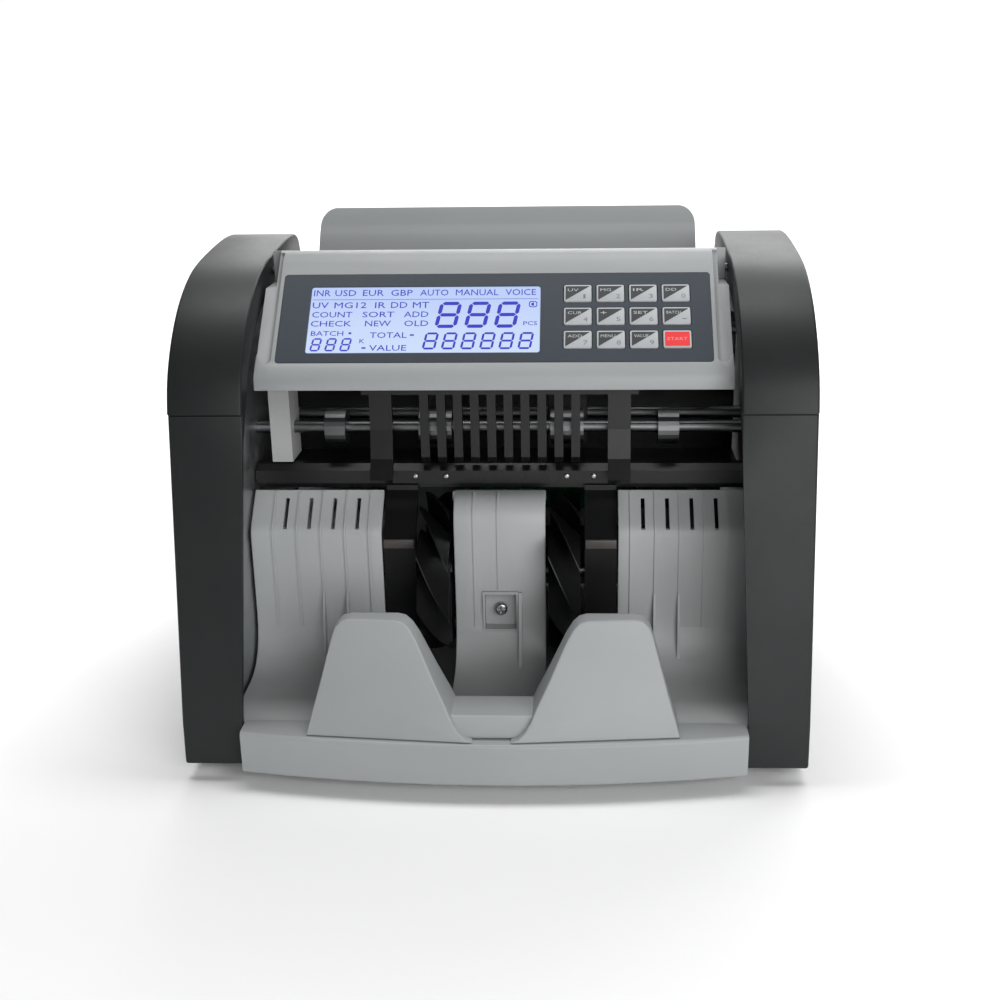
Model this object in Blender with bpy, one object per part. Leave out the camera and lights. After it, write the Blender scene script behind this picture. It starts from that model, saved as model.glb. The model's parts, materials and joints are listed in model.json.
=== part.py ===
"""Banknote counting machine: desktop note counter with a tilting control panel.

Millimetres are used for every named size; MM turns them into metres.
X runs left to right as seen by the operator, Y runs from the front to the back, Z is up.
The machine stands on four rubber feet, centred on the origin.
"""
import math

import bmesh
import bpy
from mathutils import Matrix, Vector

MM = 0.001

# ---- overall body ----------------------------------------------------------------------------
HALF_WIDTH = 140.0            # outer face of each side cover
OPENING_HALF = 107.0          # inner edge of each side cover at the panel
OPENING_HALF_LOW = 112.5      # inner edge of each side cover at the table end
COVER_WALL = 2.6
FLOOR_Z = 6.0                 # underside of the base tray above the table
LEDGE_Z = 26.0                # top of the front apron
APRON_HALF = 112.1            # half the length of the front apron
FRAME_X = 120.6               # inner face of each steel side frame
FRAME_T = 1.6
HANDLE_Y = 116.3              # pins of the carry handle
HANDLE_Z = 171.0

# side view of a side cover, front bottom corner first, as (y, z)
COVER_FRONT = [(-105.0, 7.0), (-103.5, 27.0), (-80.5, 163.0)]
COVER_CAP = [(-82.0, 163.6), (-77.5, 177.0), (-73.5, 185.0), (-68.0, 191.5), (-61.0, 198.8),
             (-53.0, 205.2), (-44.0, 210.8), (-34.0, 215.2), (-24.0, 218.2), (-13.0, 220.6),
             (4.0, 223.2), (24.0, 225.0), (44.0, 225.8), (51.0, 224.8), (56.0, 221.6), (58.6, 216.0),
             (60.6, 211.4), (66.0, 208.8), (92.0, 204.8), (106.0, 200.6), (115.0, 194.0), (119.4, 185.0),
             (120.6, 174.0)]
COVER_BACK = [(121.0, 30.0), (119.5, 7.0)]
COVER_MOUTH = [(-101.4, 3.0), (-100.0, 27.0), (-80.4, 150.0), (-70.0, 172.0), (-56.0, 188.0),
               (-38.0, 199.5), (-20.0, 205.5), (0.0, 208.5), (24.0, 210.0), (42.0, 210.4),
               (44.5, 206.0), (46.0, 198.0), (100.0, 193.0), (117.8, 180.0), (117.8, 3.0)]
SKIRT_T = 1.6                  # inner skirt that hangs from the crown of a side cover

# ---- tilting control panel ---------------------------------------------------------------------
PANEL_HALF = 105.8
PANEL_TILT = math.radians(45.0)
PANEL_FOOT = Vector((0.0, -58.0, 181.0))     # middle of the overlay's lower edge
OVERLAY_W = 193.6
OVERLAY_H = 47.8
OVERLAY_T = 0.8
PANEL_WALL = 3.0
HINGE_Y = -4.0
HINGE_Z = 214.5
LCD_W = 104.2
LCD_H = 35.7
LCD_X = -31.7                 # middle of the display across the panel
LCD_V = 23.1                  # middle of the display up the panel
KEY_W = 12.6
KEY_H = 9.2
KEY_PITCH_X = 14.67
KEY_PITCH_V = 12.45
KEY_X0 = 37.3                 # middle of the first column of keys
KEY_V0 = 36.5                 # middle of the top row of keys, up the panel
KEY_GAP = 0.35

# ---- stacker -------------------------------------------------------------------------------------
BACK_FACE_Y = -38.0           # upright face of the stacker back panels
BACK_FOLD_Z = 94.6
BACK_TOP_Y = -22.0
BACK_TOP_Z = 111.0
SIDE_BACK_IN = 56.5
SIDE_BACK_OUT = 119.8
CENTRE_BACK_HALF = 22.0
WHEEL_X = 31.0
WHEEL_W = 15.0
WHEEL_R = 39.0
WHEEL_Y = -19.0
WHEEL_Z = 68.0
WHEEL_BLADES = 9
WHEEL_TWIST = 50.0              # degrees a blade turns from one face of the wheel to the other
HORN_TOP_Z = 76.0
HORN_FRONT_Y = -112.4           # foot of the stop plate at its two ends
HORN_LEAN = 11.4               # how far the horns lean back at their tops
HORN_BOW = 6.0                 # how far the foot bows forward in the middle

# ---- note path -----------------------------------------------------------------------------------
SHAFT_R = 3.0
TRANSPORT_Y = -4.0
TRANSPORT_Z = 137.5
DRIVE_Y = 24.0
DRIVE_Z = 137.5
FEED_Y = 22.0
FEED_Z = 181.0
MOTOR_Y = 66.0
MOTOR_Z = 62.0
SWITCH_TILT = 8.0             # lean of the rocker in its off position, degrees


def clear_scene():
    for old in list(bpy.data.objects):
        bpy.data.objects.remove(old, do_unlink=True)


def material(name, colour, roughness, metallic=0.0, alpha=1.0, emission=None):
    mat = bpy.data.materials.new(name)
    mat.use_nodes = True
    shader = mat.node_tree.nodes["Principled BSDF"]
    shader.inputs["Base Color"].default_value = (*colour, 1.0)
    shader.inputs["Roughness"].default_value = roughness
    shader.inputs["Metallic"].default_value = metallic
    shader.inputs["Alpha"].default_value = alpha
    if emission is not None:
        shader.inputs["Emission Color"].default_value = (*emission, 1.0)
        shader.inputs["Emission Strength"].default_value = 1.0
    mat.diffuse_color = (*colour, alpha)
    return mat


def make_materials():
    return {
        "light": material("light_grey_abs", (0.42, 0.43, 0.43), 0.45),
        "dark": material("dark_grey_abs", (0.055, 0.062, 0.066), 0.38),
        "black": material("black_plastic", (0.012, 0.012, 0.013), 0.35),
        "overlay": material("slate_overlay", (0.048, 0.060, 0.080), 0.40),
        "screen": material("backlit_screen", (0.55, 0.65, 0.95), 0.15, 0.0, 1.0, (0.62, 0.74, 1.0)),
        "key": material("key_film", (0.10, 0.11, 0.13), 0.40),
        "key_red": material("red_key_film", (0.75, 0.02, 0.02), 0.40),
        "board": material("circuit_board", (0.015, 0.16, 0.06), 0.50),
        "steel": material("bright_steel", (0.56, 0.57, 0.58), 0.28, 1.0),
        "zinc": material("zinc_plated_sheet", (0.50, 0.51, 0.52), 0.42, 1.0),
        "rubber": material("black_rubber", (0.02, 0.02, 0.02), 0.85),
        "grip": material("tan_rubber", (0.34, 0.20, 0.11), 0.75),
        "white": material("white_nylon", (0.62, 0.62, 0.60), 0.50),
        "copper": material("laminated_core", (0.20, 0.17, 0.15), 0.55, 0.6),
    }


def add_mesh(name, bm, mat, smooth=False):
    """Store a closed bmesh, given in millimetres, as one named object."""
    bmesh.ops.remove_doubles(bm, verts=bm.verts, dist=0.0005)
    bmesh.ops.recalc_face_normals(bm, faces=bm.faces)
    bmesh.ops.scale(bm, vec=(MM, MM, MM), verts=bm.verts)
    mesh = bpy.data.meshes.new(name)
    for face in bm.faces:
        face.smooth = smooth
    bm.to_mesh(mesh)
    bm.free()
    obj = bpy.data.objects.new(name, mesh)
    bpy.context.scene.collection.objects.link(obj)
    if mat is not None:
        mesh.materials.append(mat)
    return obj


def soften_rounds(obj, angle=40.0):
    """Smooth shading with every edge sharper than the angle kept crisp."""
    mesh = obj.data
    bm = bmesh.new()
    bm.from_mesh(mesh)
    for face in bm.faces:
        face.smooth = True
    for edge in bm.edges:
        if len(edge.link_faces) == 2:
            edge.smooth = edge.calc_face_angle(0.0) < math.radians(angle)
    bm.to_mesh(mesh)
    bm.free()
    return obj


def set_pivot(obj, point_mm):
    """Put the object's origin on its joint axis without moving its surface."""
    point = Vector(point_mm) * MM
    obj.data.transform(Matrix.Translation(-point))
    obj.location = point
    return obj


def prism_x(points, x0, x1, bm=None):
    """Closed prism along X from a side view given as (y, z)."""
    bm = bm or bmesh.new()
    near = [bm.verts.new((x0, y, z)) for y, z in points]
    far = [bm.verts.new((x1, y, z)) for y, z in points]
    bm.faces.new(near)
    bm.faces.new(far)
    for i in range(len(points)):
        j = (i + 1) % len(points)
        bm.faces.new((near[i], near[j], far[j], far[i]))
    return bm


def prism_y(points, y0, y1, bm=None):
    """Closed prism along Y from a front view given as (x, z)."""
    bm = bm or bmesh.new()
    near = [bm.verts.new((x, y0, z)) for x, z in points]
    far = [bm.verts.new((x, y1, z)) for x, z in points]
    bm.faces.new(near)
    bm.faces.new(far)
    for i in range(len(points)):
        j = (i + 1) % len(points)
        bm.faces.new((near[i], near[j], far[j], far[i]))
    return bm


def block(x0, x1, y0, y1, z0, z1, bm=None):
    return prism_x([(y0, z0), (y1, z0), (y1, z1), (y0, z1)], x0, x1, bm)


def rounded_rect(half_w, half_h, radius, steps=4):
    """Corner points of a rounded rectangle, counter-clockwise."""
    points = []
    for cx, cy, start in ((half_w, half_h, 0), (-half_w, half_h, 90),
                          (-half_w, -half_h, 180), (half_w, -half_h, 270)):
        ox = cx - math.copysign(radius, cx)
        oy = cy - math.copysign(radius, cy)
        for step in range(steps + 1):
            angle = math.radians(start + 90.0 * step / steps)
            points.append((ox + radius * math.cos(angle), oy + radius * math.sin(angle)))
    return points


def circle(radius, count, phase=0.0):
    return [(radius * math.cos(2 * math.pi * i / count + phase),
             radius * math.sin(2 * math.pi * i / count + phase)) for i in range(count)]


def turned_x(outline, cy, cz, count=28, bore=0.0):
    """Round piece about an X axis; outline is (x, radius) along its length."""
    bm = bmesh.new()
    rings = []
    for x, radius in outline:
        rings.append([bm.verts.new((x, cy + a, cz + b)) for a, b in circle(radius, count)])
    if bore > 0.0:
        for x in (outline[-1][0], outline[0][0]):
            rings.append([bm.verts.new((x, cy + a, cz + b)) for a, b in circle(bore, count)])
        pairs = [(k, (k + 1) % len(rings)) for k in range(len(rings))]
    else:
        bm.faces.new(rings[0])
        bm.faces.new(rings[-1])
        pairs = [(k, k + 1) for k in range(len(rings) - 1)]
    for k, m in pairs:
        for i in range(count):
            j = (i + 1) % count
            bm.faces.new((rings[k][i], rings[k][j], rings[m][j], rings[m][i]))
    return bm


def carve(obj, cutters, operation="DIFFERENCE"):
    """Cut or join plain shapes into an object and keep the plain result."""
    for number, bm in enumerate(cutters):
        tool = add_mesh("tool_%d" % number, bm, None)
        modifier = obj.modifiers.new("cut_%d" % number, "BOOLEAN")
        modifier.operation = operation
        modifier.solver = "EXACT"
        modifier.object = tool
        bpy.context.view_layer.update()
        graph = bpy.context.evaluated_depsgraph_get()
        result = bpy.data.meshes.new_from_object(obj.evaluated_get(graph))
        obj.modifiers.remove(modifier)
        old = obj.data
        obj.data = result
        result.name = old.name
        bpy.data.meshes.remove(old)
        bpy.data.objects.remove(tool, do_unlink=True)
    tidy = bmesh.new()
    tidy.from_mesh(obj.data)
    bmesh.ops.remove_doubles(tidy, verts=tidy.verts, dist=0.000001)
    bmesh.ops.dissolve_degenerate(tidy, edges=tidy.edges, dist=0.000001)
    tidy.to_mesh(obj.data)
    tidy.free()
    return obj


def panel_point(x, v, out):
    """Point on the tilted panel: across, up the slope from its foot, and out of its face."""
    up = Vector((0.0, math.cos(PANEL_TILT), math.sin(PANEL_TILT)))
    normal = Vector((0.0, -math.sin(PANEL_TILT), math.cos(PANEL_TILT)))
    return PANEL_FOOT + Vector((x, 0.0, 0.0)) + up * v + normal * out


def panel_slab(outline, out0, out1, bm=None):
    """Closed slab lying on the panel from an outline given as (x, v)."""
    bm = bm or bmesh.new()
    near = [bm.verts.new(panel_point(x, v, out0)) for x, v in outline]
    far = [bm.verts.new(panel_point(x, v, out1)) for x, v in outline]
    bm.faces.new(near)
    bm.faces.new(far)
    for i in range(len(outline)):
        j = (i + 1) % len(outline)
        bm.faces.new((near[i], near[j], far[j], far[i]))
    return bm


def moved(points, dx, dy):
    return [(x + dx, y + dy) for x, y in points]


# ---- base, feet, covers and frames ---------------------------------------------------------------
def make_base_tray(mats):
    """Light grey tray whose front wall bows forward under the stacker pocket."""
    bow = []
    for step in range(17):
        x = APRON_HALF * (step / 8.0 - 1.0)
        bow.append((x, -110.6 - 10.4 * (1.0 - (x / APRON_HALF) ** 2)))
    bm = bmesh.new()
    outline = bow + [(APRON_HALF, -99.0), (-APRON_HALF, -99.0)]
    low = [bm.verts.new((x, y, FLOOR_Z)) for x, y in outline]
    high = [bm.verts.new((x, y + 1.2 if y < -105 else y, LEDGE_Z)) for x, y in outline]
    bm.faces.new(low)
    bm.faces.new(high)
    for i in range(len(outline)):
        j = (i + 1) % len(outline)
        bm.faces.new((low[i], low[j], high[j], high[i]))
    obj = add_mesh("base_tray", bm, mats["light"])
    floor = block(-117.5, 117.5, -100.5, 117.0, FLOOR_Z, FLOOR_Z + 2.6)
    carve(obj, [floor], "UNION")
    under = block(-100.0, 100.0, -108.0, -101.0, FLOOR_Z - 1.0, LEDGE_Z - 3.0)
    vents = [block(x - 2.0, x + 2.0, 20.0, 60.0, FLOOR_Z - 1.0, FLOOR_Z + 4.0)
             for x in (-84.0, -72.0, -60.0, -48.0)]
    return carve(obj, [under] + vents)


def make_foot(name, x, y, mats):
    bm = bmesh.new()
    rings = []
    for radius, z in ((7.5, 0.0), (8.5, 1.5), (8.5, FLOOR_Z - 0.1)):
        rings.append([bm.verts.new((x + a, y + b, z)) for a, b in circle(radius, 20)])
    bm.faces.new(rings[0])
    bm.faces.new(rings[-1])
    for low, high in zip(rings, rings[1:]):
        for i in range(20):
            j = (i + 1) % 20
            bm.faces.new((low[i], low[j], high[j], high[i]))
    return soften_rounds(add_mesh(name, bm, mats["rubber"]))


def inset_outline(points, distance):
    """Outline moved inward by a wall thickness, corner by corner."""
    count = len(points)
    area = sum(points[i][0] * points[(i + 1) % count][1] - points[(i + 1) % count][0] * points[i][1]
               for i in range(count))
    turn = 1.0 if area > 0.0 else -1.0
    result = []
    for i in range(count):
        before = Vector(points[i - 1])
        here = Vector(points[i])
        after = Vector(points[(i + 1) % count])
        d0 = (here - before).normalized()
        d1 = (after - here).normalized()
        n0 = Vector((-d0.y, d0.x)) * turn
        n1 = Vector((-d1.y, d1.x)) * turn
        mid = (n0 + n1).normalized()
        result.append(tuple(here + mid * (distance / max(0.4, mid.dot(n0)))))
    return result


def make_side_cover(name, side, mats):
    """Moulded shell with a flange facing the operator and a skirt around its mouth toward the machine."""
    outline = COVER_FRONT + COVER_CAP + COVER_BACK
    obj = add_mesh(name, prism_x(outline, side * OPENING_HALF, side * HALF_WIDTH), mats["dark"])
    inner = inset_outline(outline, COVER_WALL)
    hollow = prism_x(inner, side * (OPENING_HALF + SKIRT_T), side * (HALF_WIDTH - COVER_WALL))
    mouth = prism_x(COVER_MOUTH, side * (OPENING_HALF - 5.0), side * (OPENING_HALF + SKIRT_T + 0.5))
    rod = turned_x([(side * (OPENING_HALF - 5.0), 2.3), (side * (OPENING_HALF + 5.0), 2.3)],
                   HINGE_Y, HINGE_Z, 16)
    lean = OPENING_HALF_LOW - OPENING_HALF
    wedge = prism_y([(side * 100.0, 0.0), (side * (OPENING_HALF + lean), 0.0),
                     (side * (OPENING_HALF + lean), 30.0), (side * OPENING_HALF, 168.0),
                     (side * 100.0, 168.0)], -115.0, -70.0)
    under = block(side * 100.0, side * (FRAME_X - 1.5), -101.6, 117.6, 0.0, 12.0)
    carve(obj, [hollow, mouth, rod, wedge, under])
    return obj


def make_side_frame(name, side, mats):
    """Steel side plate that carries every shaft bearing."""
    outline = [(-92.0, 12.0), (-88.0, 60.0), (-72.0, 158.0), (-60.0, 186.0), (-34.0, 207.0), (-20.0, 214.0),
               (-6.0, 218.0), (20.0, 218.6), (46.0, 219.0), (52.0, 206.4), (56.0, 203.6), (92.0, 199.4),
               (104.0, 195.6), (112.0, 187.0), (114.0, 170.0), (114.0, 12.0)]
    x0 = side * FRAME_X
    x1 = side * (FRAME_X + FRAME_T)
    obj = add_mesh(name, prism_x(outline, x0, x1), mats["zinc"])
    holes = []
    for y, z in ((WHEEL_Y, WHEEL_Z), (TRANSPORT_Y, TRANSPORT_Z), (DRIVE_Y, DRIVE_Z), (FEED_Y, FEED_Z)):
        holes.append(turned_x([(x0 - 2.0 * side, SHAFT_R + 0.35), (x1 + 2.0 * side, SHAFT_R + 0.35)],
                              y, z, 20))
    holes.append(turned_x([(x0 - 2.0 * side, 2.15), (x1 + 2.0 * side, 2.15)], HINGE_Y, HINGE_Z, 16))
    if side < 0:
        holes.append(turned_x([(x0 + 2.0, 11.0), (x1 - 2.0, 11.0)], MOTOR_Y, MOTOR_Z, 24))
    carve(obj, holes)
    return obj


def make_rear_cover(mats):
    """Upright rear wall with the inlet and switch openings and the two handle lugs."""
    outline = [(109.0, 9.2), (112.0, 9.2), (112.0, 194.0), (108.0, 203.0), (99.0, 205.5),
               (99.0, 202.8), (106.4, 200.8), (109.0, 193.0)]
    obj = add_mesh("rear_cover", prism_x(outline, -106.4, 106.4), mats["light"])
    inlet = block(-88.4, -59.6, 104.0, 116.0, 19.6, 42.4)
    switch = block(-50.4, -35.6, 104.0, 116.0, 19.6, 42.4)
    slots = [block(x - 12.0, x + 12.0, 104.0, 116.0, z - 1.2, z + 1.2)
             for x in (34.0, 66.0) for z in (24.0, 30.0, 36.0, 42.0)]
    carve(obj, [inlet, switch] + slots)
    lugs = [block(s * 69.0, s * 77.0, 111.0, 120.0, 164.0, 178.0) for s in (-1.0, 1.0)]
    carve(obj, lugs, "UNION")
    bores = [turned_x([(s * 68.0, 2.6), (s * 72.5, 2.6)], HANDLE_Y, HANDLE_Z, 16) for s in (-1.0, 1.0)]
    return carve(obj, bores)


def make_carry_handle(mats):
    """Bail handle that folds flat against the rear wall and swings up about its pins."""
    top = HANDLE_Z + 2.9
    outer = [(-67.0, top), (-67.0, 138.0), (-56.0, 126.0), (56.0, 126.0), (67.0, 138.0), (67.0, top),
             (57.0, top), (57.0, 142.0), (50.0, 136.0), (-50.0, 136.0), (-57.0, 142.0), (-57.0, top)]
    obj = add_mesh("carry_handle", prism_y(outer, HANDLE_Y - 2.6, HANDLE_Y + 2.6), mats["black"])
    pins = [turned_x([(s * 66.0, 2.2), (s * 71.0, 2.2)], HANDLE_Y, HANDLE_Z, 16) for s in (-1.0, 1.0)]
    carve(obj, pins, "UNION")
    return set_pivot(obj, (0.0, HANDLE_Y, HANDLE_Z))


# ---- hopper ----------------------------------------------------------------------------------------
def make_hopper_plate(mats):
    """Bent back plate that the waiting notes lean against, with rounded top corners."""
    half = 98.0
    side_view = [(47.0, 196.0), (54.0, 206.0), (66.0, 224.0), (74.0, 236.0)]
    top = side_view[-1]
    radius = 9.0
    steps = 6
    left = [(-half, y, z) for y, z in side_view[:-1]]
    arc = []
    for step in range(steps + 1):
        angle = math.radians(90.0 * step / steps)
        rise = radius * (1.0 - math.sin(angle))
        x = half - radius + radius * math.cos(angle)
        arc.append((x, top[0] - rise * 0.64, top[1] - rise))
    bm = bmesh.new()
    loop = list(left)
    loop += [(-x, y, z) for x, y, z in arc]
    loop += [(x, y, z) for x, y, z in reversed(arc)]
    loop += [(-x, y, z) for x, y, z in reversed(left)]
    thick = Vector((0.0, 2.3, -1.2))
    near = [bm.verts.new(p) for p in loop]
    far = [bm.verts.new(Vector(p) + thick) for p in loop]
    rows = len(loop) // 2
    for i in range(rows - 1):
        j = len(loop) - 1 - i
        bm.faces.new((near[i], near[i + 1], near[j - 1], near[j]))
        bm.faces.new((far[i], far[i + 1], far[j - 1], far[j]))
    for i in range(len(loop)):
        j = (i + 1) % len(loop)
        bm.faces.new((near[i], near[j], far[j], far[i]))
    return add_mesh("hopper_back_plate", bm, mats["light"])


def make_hopper_tray(mats):
    """Sloping floor under the waiting notes with two windows for the feed rollers."""
    outline = [(1.0, 187.6), (8.0, 191.0), (44.0, 195.5), (98.0, 201.6), (98.0, 198.6), (44.0, 192.5),
               (8.0, 187.0), (1.0, 184.6)]
    obj = add_mesh("hopper_tray", prism_x(outline, -105.0, 105.0), mats["light"])
    windows = [block(s * 20.0, s * 44.0, 6.0, 41.0, 180.0, 200.0) for s in (-1.0, 1.0)]
    slots = [block(s * 64.0, s * 97.0, 25.0, 28.6, 185.0, 200.0) for s in (-1.0, 1.0)]
    plate_slot = block(-98.6, 98.6, 45.6, 51.6, 185.0, 200.0)
    carve(obj, windows + slots + [plate_slot])
    return obj


def make_note_guide(name, side, mats):
    """Sliding side guide standing on the hopper tray, with its foot through the tray slot."""
    outline = [(4.0, 190.2), (8.0, 191.6), (44.0, 196.1), (44.0, 211.0), (12.0, 211.0), (4.0, 203.0)]
    obj = add_mesh(name, prism_x(outline, side * 92.0, side * 94.4), mats["light"])
    foot = block(side * 86.0, side * 93.0, 25.6, 28.0, 184.0, 196.5)
    shelf = prism_x([(20.0, 193.6), (34.0, 195.3), (34.0, 197.6), (20.0, 196.0)], side * 80.0, side * 93.0)
    carve(obj, [shelf, foot], "UNION")
    return set_pivot(obj, (side * 93.2, 26.8, 200.0))


def make_tension_knob(mats):
    """Fluted knob at the rear of the hopper that sets the pick gap."""
    bm = bmesh.new()
    rings = []
    for radius, z, flute in ((7.5, 202.6, 0.5), (7.5, 208.2, 0.5), (6.2, 209.6, 0.2)):
        ring = []
        for i in range(32):
            r = radius + (flute if i % 2 else -flute)
            angle = 2.0 * math.pi * i / 32
            ring.append(bm.verts.new((r * math.cos(angle), 84.0 + r * math.sin(angle), z)))
        rings.append(ring)
    bm.faces.new(rings[0])
    bm.faces.new(rings[-1])
    for low, high in zip(rings, rings[1:]):
        for i in range(32):
            j = (i + 1) % 32
            bm.faces.new((low[i], low[j], high[j], high[i]))
    return set_pivot(add_mesh("tension_knob", bm, mats["black"]), (0.0, 84.0, 206.0))


# ---- tilting control panel -------------------------------------------------------------------------
def make_panel_housing(mats):
    """Light grey front cover: a sloping bezel shell that hinges up at its top corners."""
    outer = [(-63.5, 169.5), (-63.5, 174.0), (-59.4, 179.6), (-19.2, 219.8), (-14.5, 223.0), (-8.5, 224.0),
             (-3.5, 221.6), (-0.4, 217.0), (-0.4, 211.0), (-6.0, 208.0), (-16.0, 207.0), (-54.5, 169.5)]
    obj = add_mesh("control_panel_housing", prism_x(outer, -PANEL_HALF, PANEL_HALF), mats["light"])
    inner = [(-60.5, 160.0), (-60.5, 173.2), (-57.2, 177.6), (-18.4, 216.2), (-14.0, 219.8), (-10.5, 220.4),
             (-9.4, 219.0), (-9.4, 200.0), (-50.0, 160.0)]
    cavity = prism_x(inner, -PANEL_HALF + 2.6, PANEL_HALF - 2.6)
    recess = panel_slab(moved(rounded_rect(OVERLAY_W / 2 + 0.35, OVERLAY_H / 2 + 0.35, 1.6), 0.0,
                              OVERLAY_H / 2), -OVERLAY_T - 0.35, 3.0)
    screen = panel_slab(moved(rounded_rect(LCD_W / 2 + 0.6, LCD_H / 2 + 0.6, 1.2), LCD_X, LCD_V), -8.0, 3.0)
    mid_x = KEY_X0 + 1.5 * KEY_PITCH_X
    mid_v = KEY_V0 - KEY_PITCH_V
    half_x = 1.5 * KEY_PITCH_X + KEY_W / 2 + 1.0
    half_v = KEY_PITCH_V + KEY_H / 2 + 1.0
    keypad = panel_slab(moved(rounded_rect(half_x, half_v, 1.2), mid_x, mid_v), -8.0, 3.0)
    bore = turned_x([(-PANEL_HALF - 2.0, 2.15), (PANEL_HALF + 2.0, 2.15)], HINGE_Y, HINGE_Z, 16)
    carve(obj, [cavity, recess, screen, keypad, bore])
    return set_pivot(obj, (0.0, HINGE_Y, HINGE_Z))


def key_centres():
    """Key name, place across and up the panel, and whether it is the red start key."""
    names = ["key_1", "key_2", "key_3", "key_0", "key_4", "key_5", "key_6", "key_batch",
             "key_7", "key_8", "key_9", "key_start"]
    for number, name in enumerate(names):
        column = number % 4
        row = number // 4
        yield name, KEY_X0 + column * KEY_PITCH_X, KEY_V0 - row * KEY_PITCH_V, name == "key_start"


def make_panel_overlay(mats):
    slab = panel_slab(moved(rounded_rect(OVERLAY_W / 2, OVERLAY_H / 2, 1.4), 0.0, OVERLAY_H / 2),
                      -OVERLAY_T, 0.0)
    obj = add_mesh("panel_overlay", slab, mats["overlay"])
    cuts = [panel_slab(moved(rounded_rect(LCD_W / 2 + 0.3, LCD_H / 2 + 0.3, 1.0), LCD_X, LCD_V), -3.0, 3.0)]
    for _, x, v, _ in key_centres():
        hole = rounded_rect(KEY_W / 2 + KEY_GAP, KEY_H / 2 + KEY_GAP, 0.9, 2)
        cuts.append(panel_slab(moved(hole, x, v), -3.0, 3.0))
    carve(obj, cuts)
    return set_pivot(obj, (0.0, HINGE_Y, HINGE_Z))


def make_key(name, x, v, red, mats):
    bm = panel_slab(moved(rounded_rect(KEY_W / 2, KEY_H / 2, 0.8, 2), x, v), -2.6, 0.45)
    obj = add_mesh(name, bm, mats["key_red"] if red else mats["key"])
    return set_pivot(obj, tuple(panel_point(x, v, 0.0)))


def make_display(mats):
    glass = panel_slab(moved(rounded_rect(LCD_W / 2, LCD_H / 2, 0.8, 2), LCD_X, LCD_V), -3.2, -0.5)
    window = add_mesh("lcd_window", glass, mats["screen"])
    back = panel_slab(moved(rounded_rect(55.0, 21.0, 1.0, 1), LCD_X, LCD_V), -11.0, -3.6)
    module = add_mesh("lcd_module", back, mats["black"])
    board_outline = moved(rounded_rect(35.0, 22.0, 1.0, 1), 60.0, 23.5)
    board = add_mesh("panel_board", panel_slab(board_outline, -5.4, -3.8), mats["board"])
    for obj in (window, module, board):
        set_pivot(obj, (0.0, HINGE_Y, HINGE_Z))


def make_hinge_rod(mats):
    bm = turned_x([(-123.0, 1.4), (-122.4, 1.8), (122.4, 1.8), (123.0, 1.4)], HINGE_Y, HINGE_Z, 16)
    return soften_rounds(add_mesh("panel_hinge_rod", bm, mats["steel"]))


# ---- stacker ---------------------------------------------------------------------------------------
def horn_front(x, z):
    """Front face of the stop plate: bowed like the apron at its foot, leaning back toward the top."""
    bow = HORN_BOW * (1.0 - (x / 82.0) ** 2)
    rise = (z - LEDGE_Z) / (HORN_TOP_Z - LEDGE_Z)
    return HORN_FRONT_Y + HORN_LEAN * rise - bow * (1.0 - rise)


def horn_back(z):
    """Back face of the stop plate, nearly upright."""
    return -92.0 + (z - LEDGE_Z) * 0.02


def make_stop_plate(mats):
    """Saddle with two broad horns that holds the counted stack upright."""
    foot_z = LEDGE_Z + 0.4
    half = [(81.5, foot_z), (74.5, 52.0), (70.2, 68.0), (68.4, 72.6), (66.4, 75.2), (63.6, HORN_TOP_Z),
            (41.0, HORN_TOP_Z), (38.4, 75.2), (36.0, 72.4), (33.0, 66.5), (26.0, 51.0), (20.0, 40.0),
            (17.0, 36.8), (13.0, 35.6)]
    crest = half + [(-x, z) for x, z in reversed(half)]
    bm = bmesh.new()
    near_top = [bm.verts.new((x, horn_front(x, z), z)) for x, z in crest]
    far_top = [bm.verts.new((x, horn_back(z), z)) for x, z in crest]
    near_foot = [bm.verts.new((x, horn_front(x, foot_z), foot_z)) for x, z in crest[1:-1]]
    far_foot = [bm.verts.new((x, horn_back(foot_z), foot_z)) for x, z in crest[1:-1]]
    near_foot = [near_top[0]] + near_foot + [near_top[-1]]
    far_foot = [far_top[0]] + far_foot + [far_top[-1]]
    for i in range(len(crest) - 1):
        for high, low in ((near_top, near_foot), (far_top, far_foot)):
            corners = [high[i], high[i + 1], low[i + 1], low[i]]
            bm.faces.new(sorted(set(corners), key=corners.index))
        bm.faces.new((near_top[i], near_top[i + 1], far_top[i + 1], far_top[i]))
        bm.faces.new((near_foot[i], near_foot[i + 1], far_foot[i + 1], far_foot[i]))
    return add_mesh("stop_plate", bm, mats["light"])


def back_face(lip):
    """Visible side view of a stacker back panel: floor, upright face, slanting top."""
    face = [(-98.4, 25.2), (-56.0, 26.6), (-48.0, 29.0), (-42.0, 34.0), (-39.0, 42.0), (BACK_FACE_Y, 52.0)]
    if lip:
        return face + [(BACK_FACE_Y, 98.0), (-37.0, 103.0), (-33.5, 107.5), (-28.0, 110.4),
                       (BACK_TOP_Y, BACK_TOP_Z)]
    return face + [(BACK_FACE_Y, BACK_FOLD_Z), (BACK_TOP_Y, BACK_TOP_Z)]


def shifted_face(face, distance):
    """The same side view moved into (or, with a minus sign, out of) the panel."""
    closing = [(BACK_TOP_Y + 12.0, BACK_TOP_Z), (20.0, 60.0), (20.0, -10.0), (-98.4, -10.0)]
    return inset_outline(face + closing, distance)[:len(face)]


def back_profile(lip):
    face = back_face(lip)
    behind = shifted_face(face, 2.2)
    behind[0] = (face[0][0], face[0][1] - 2.2)
    behind[-1] = (face[-1][0] + 0.6, face[-1][1] - 2.6)
    return face + behind[::-1]


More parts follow.
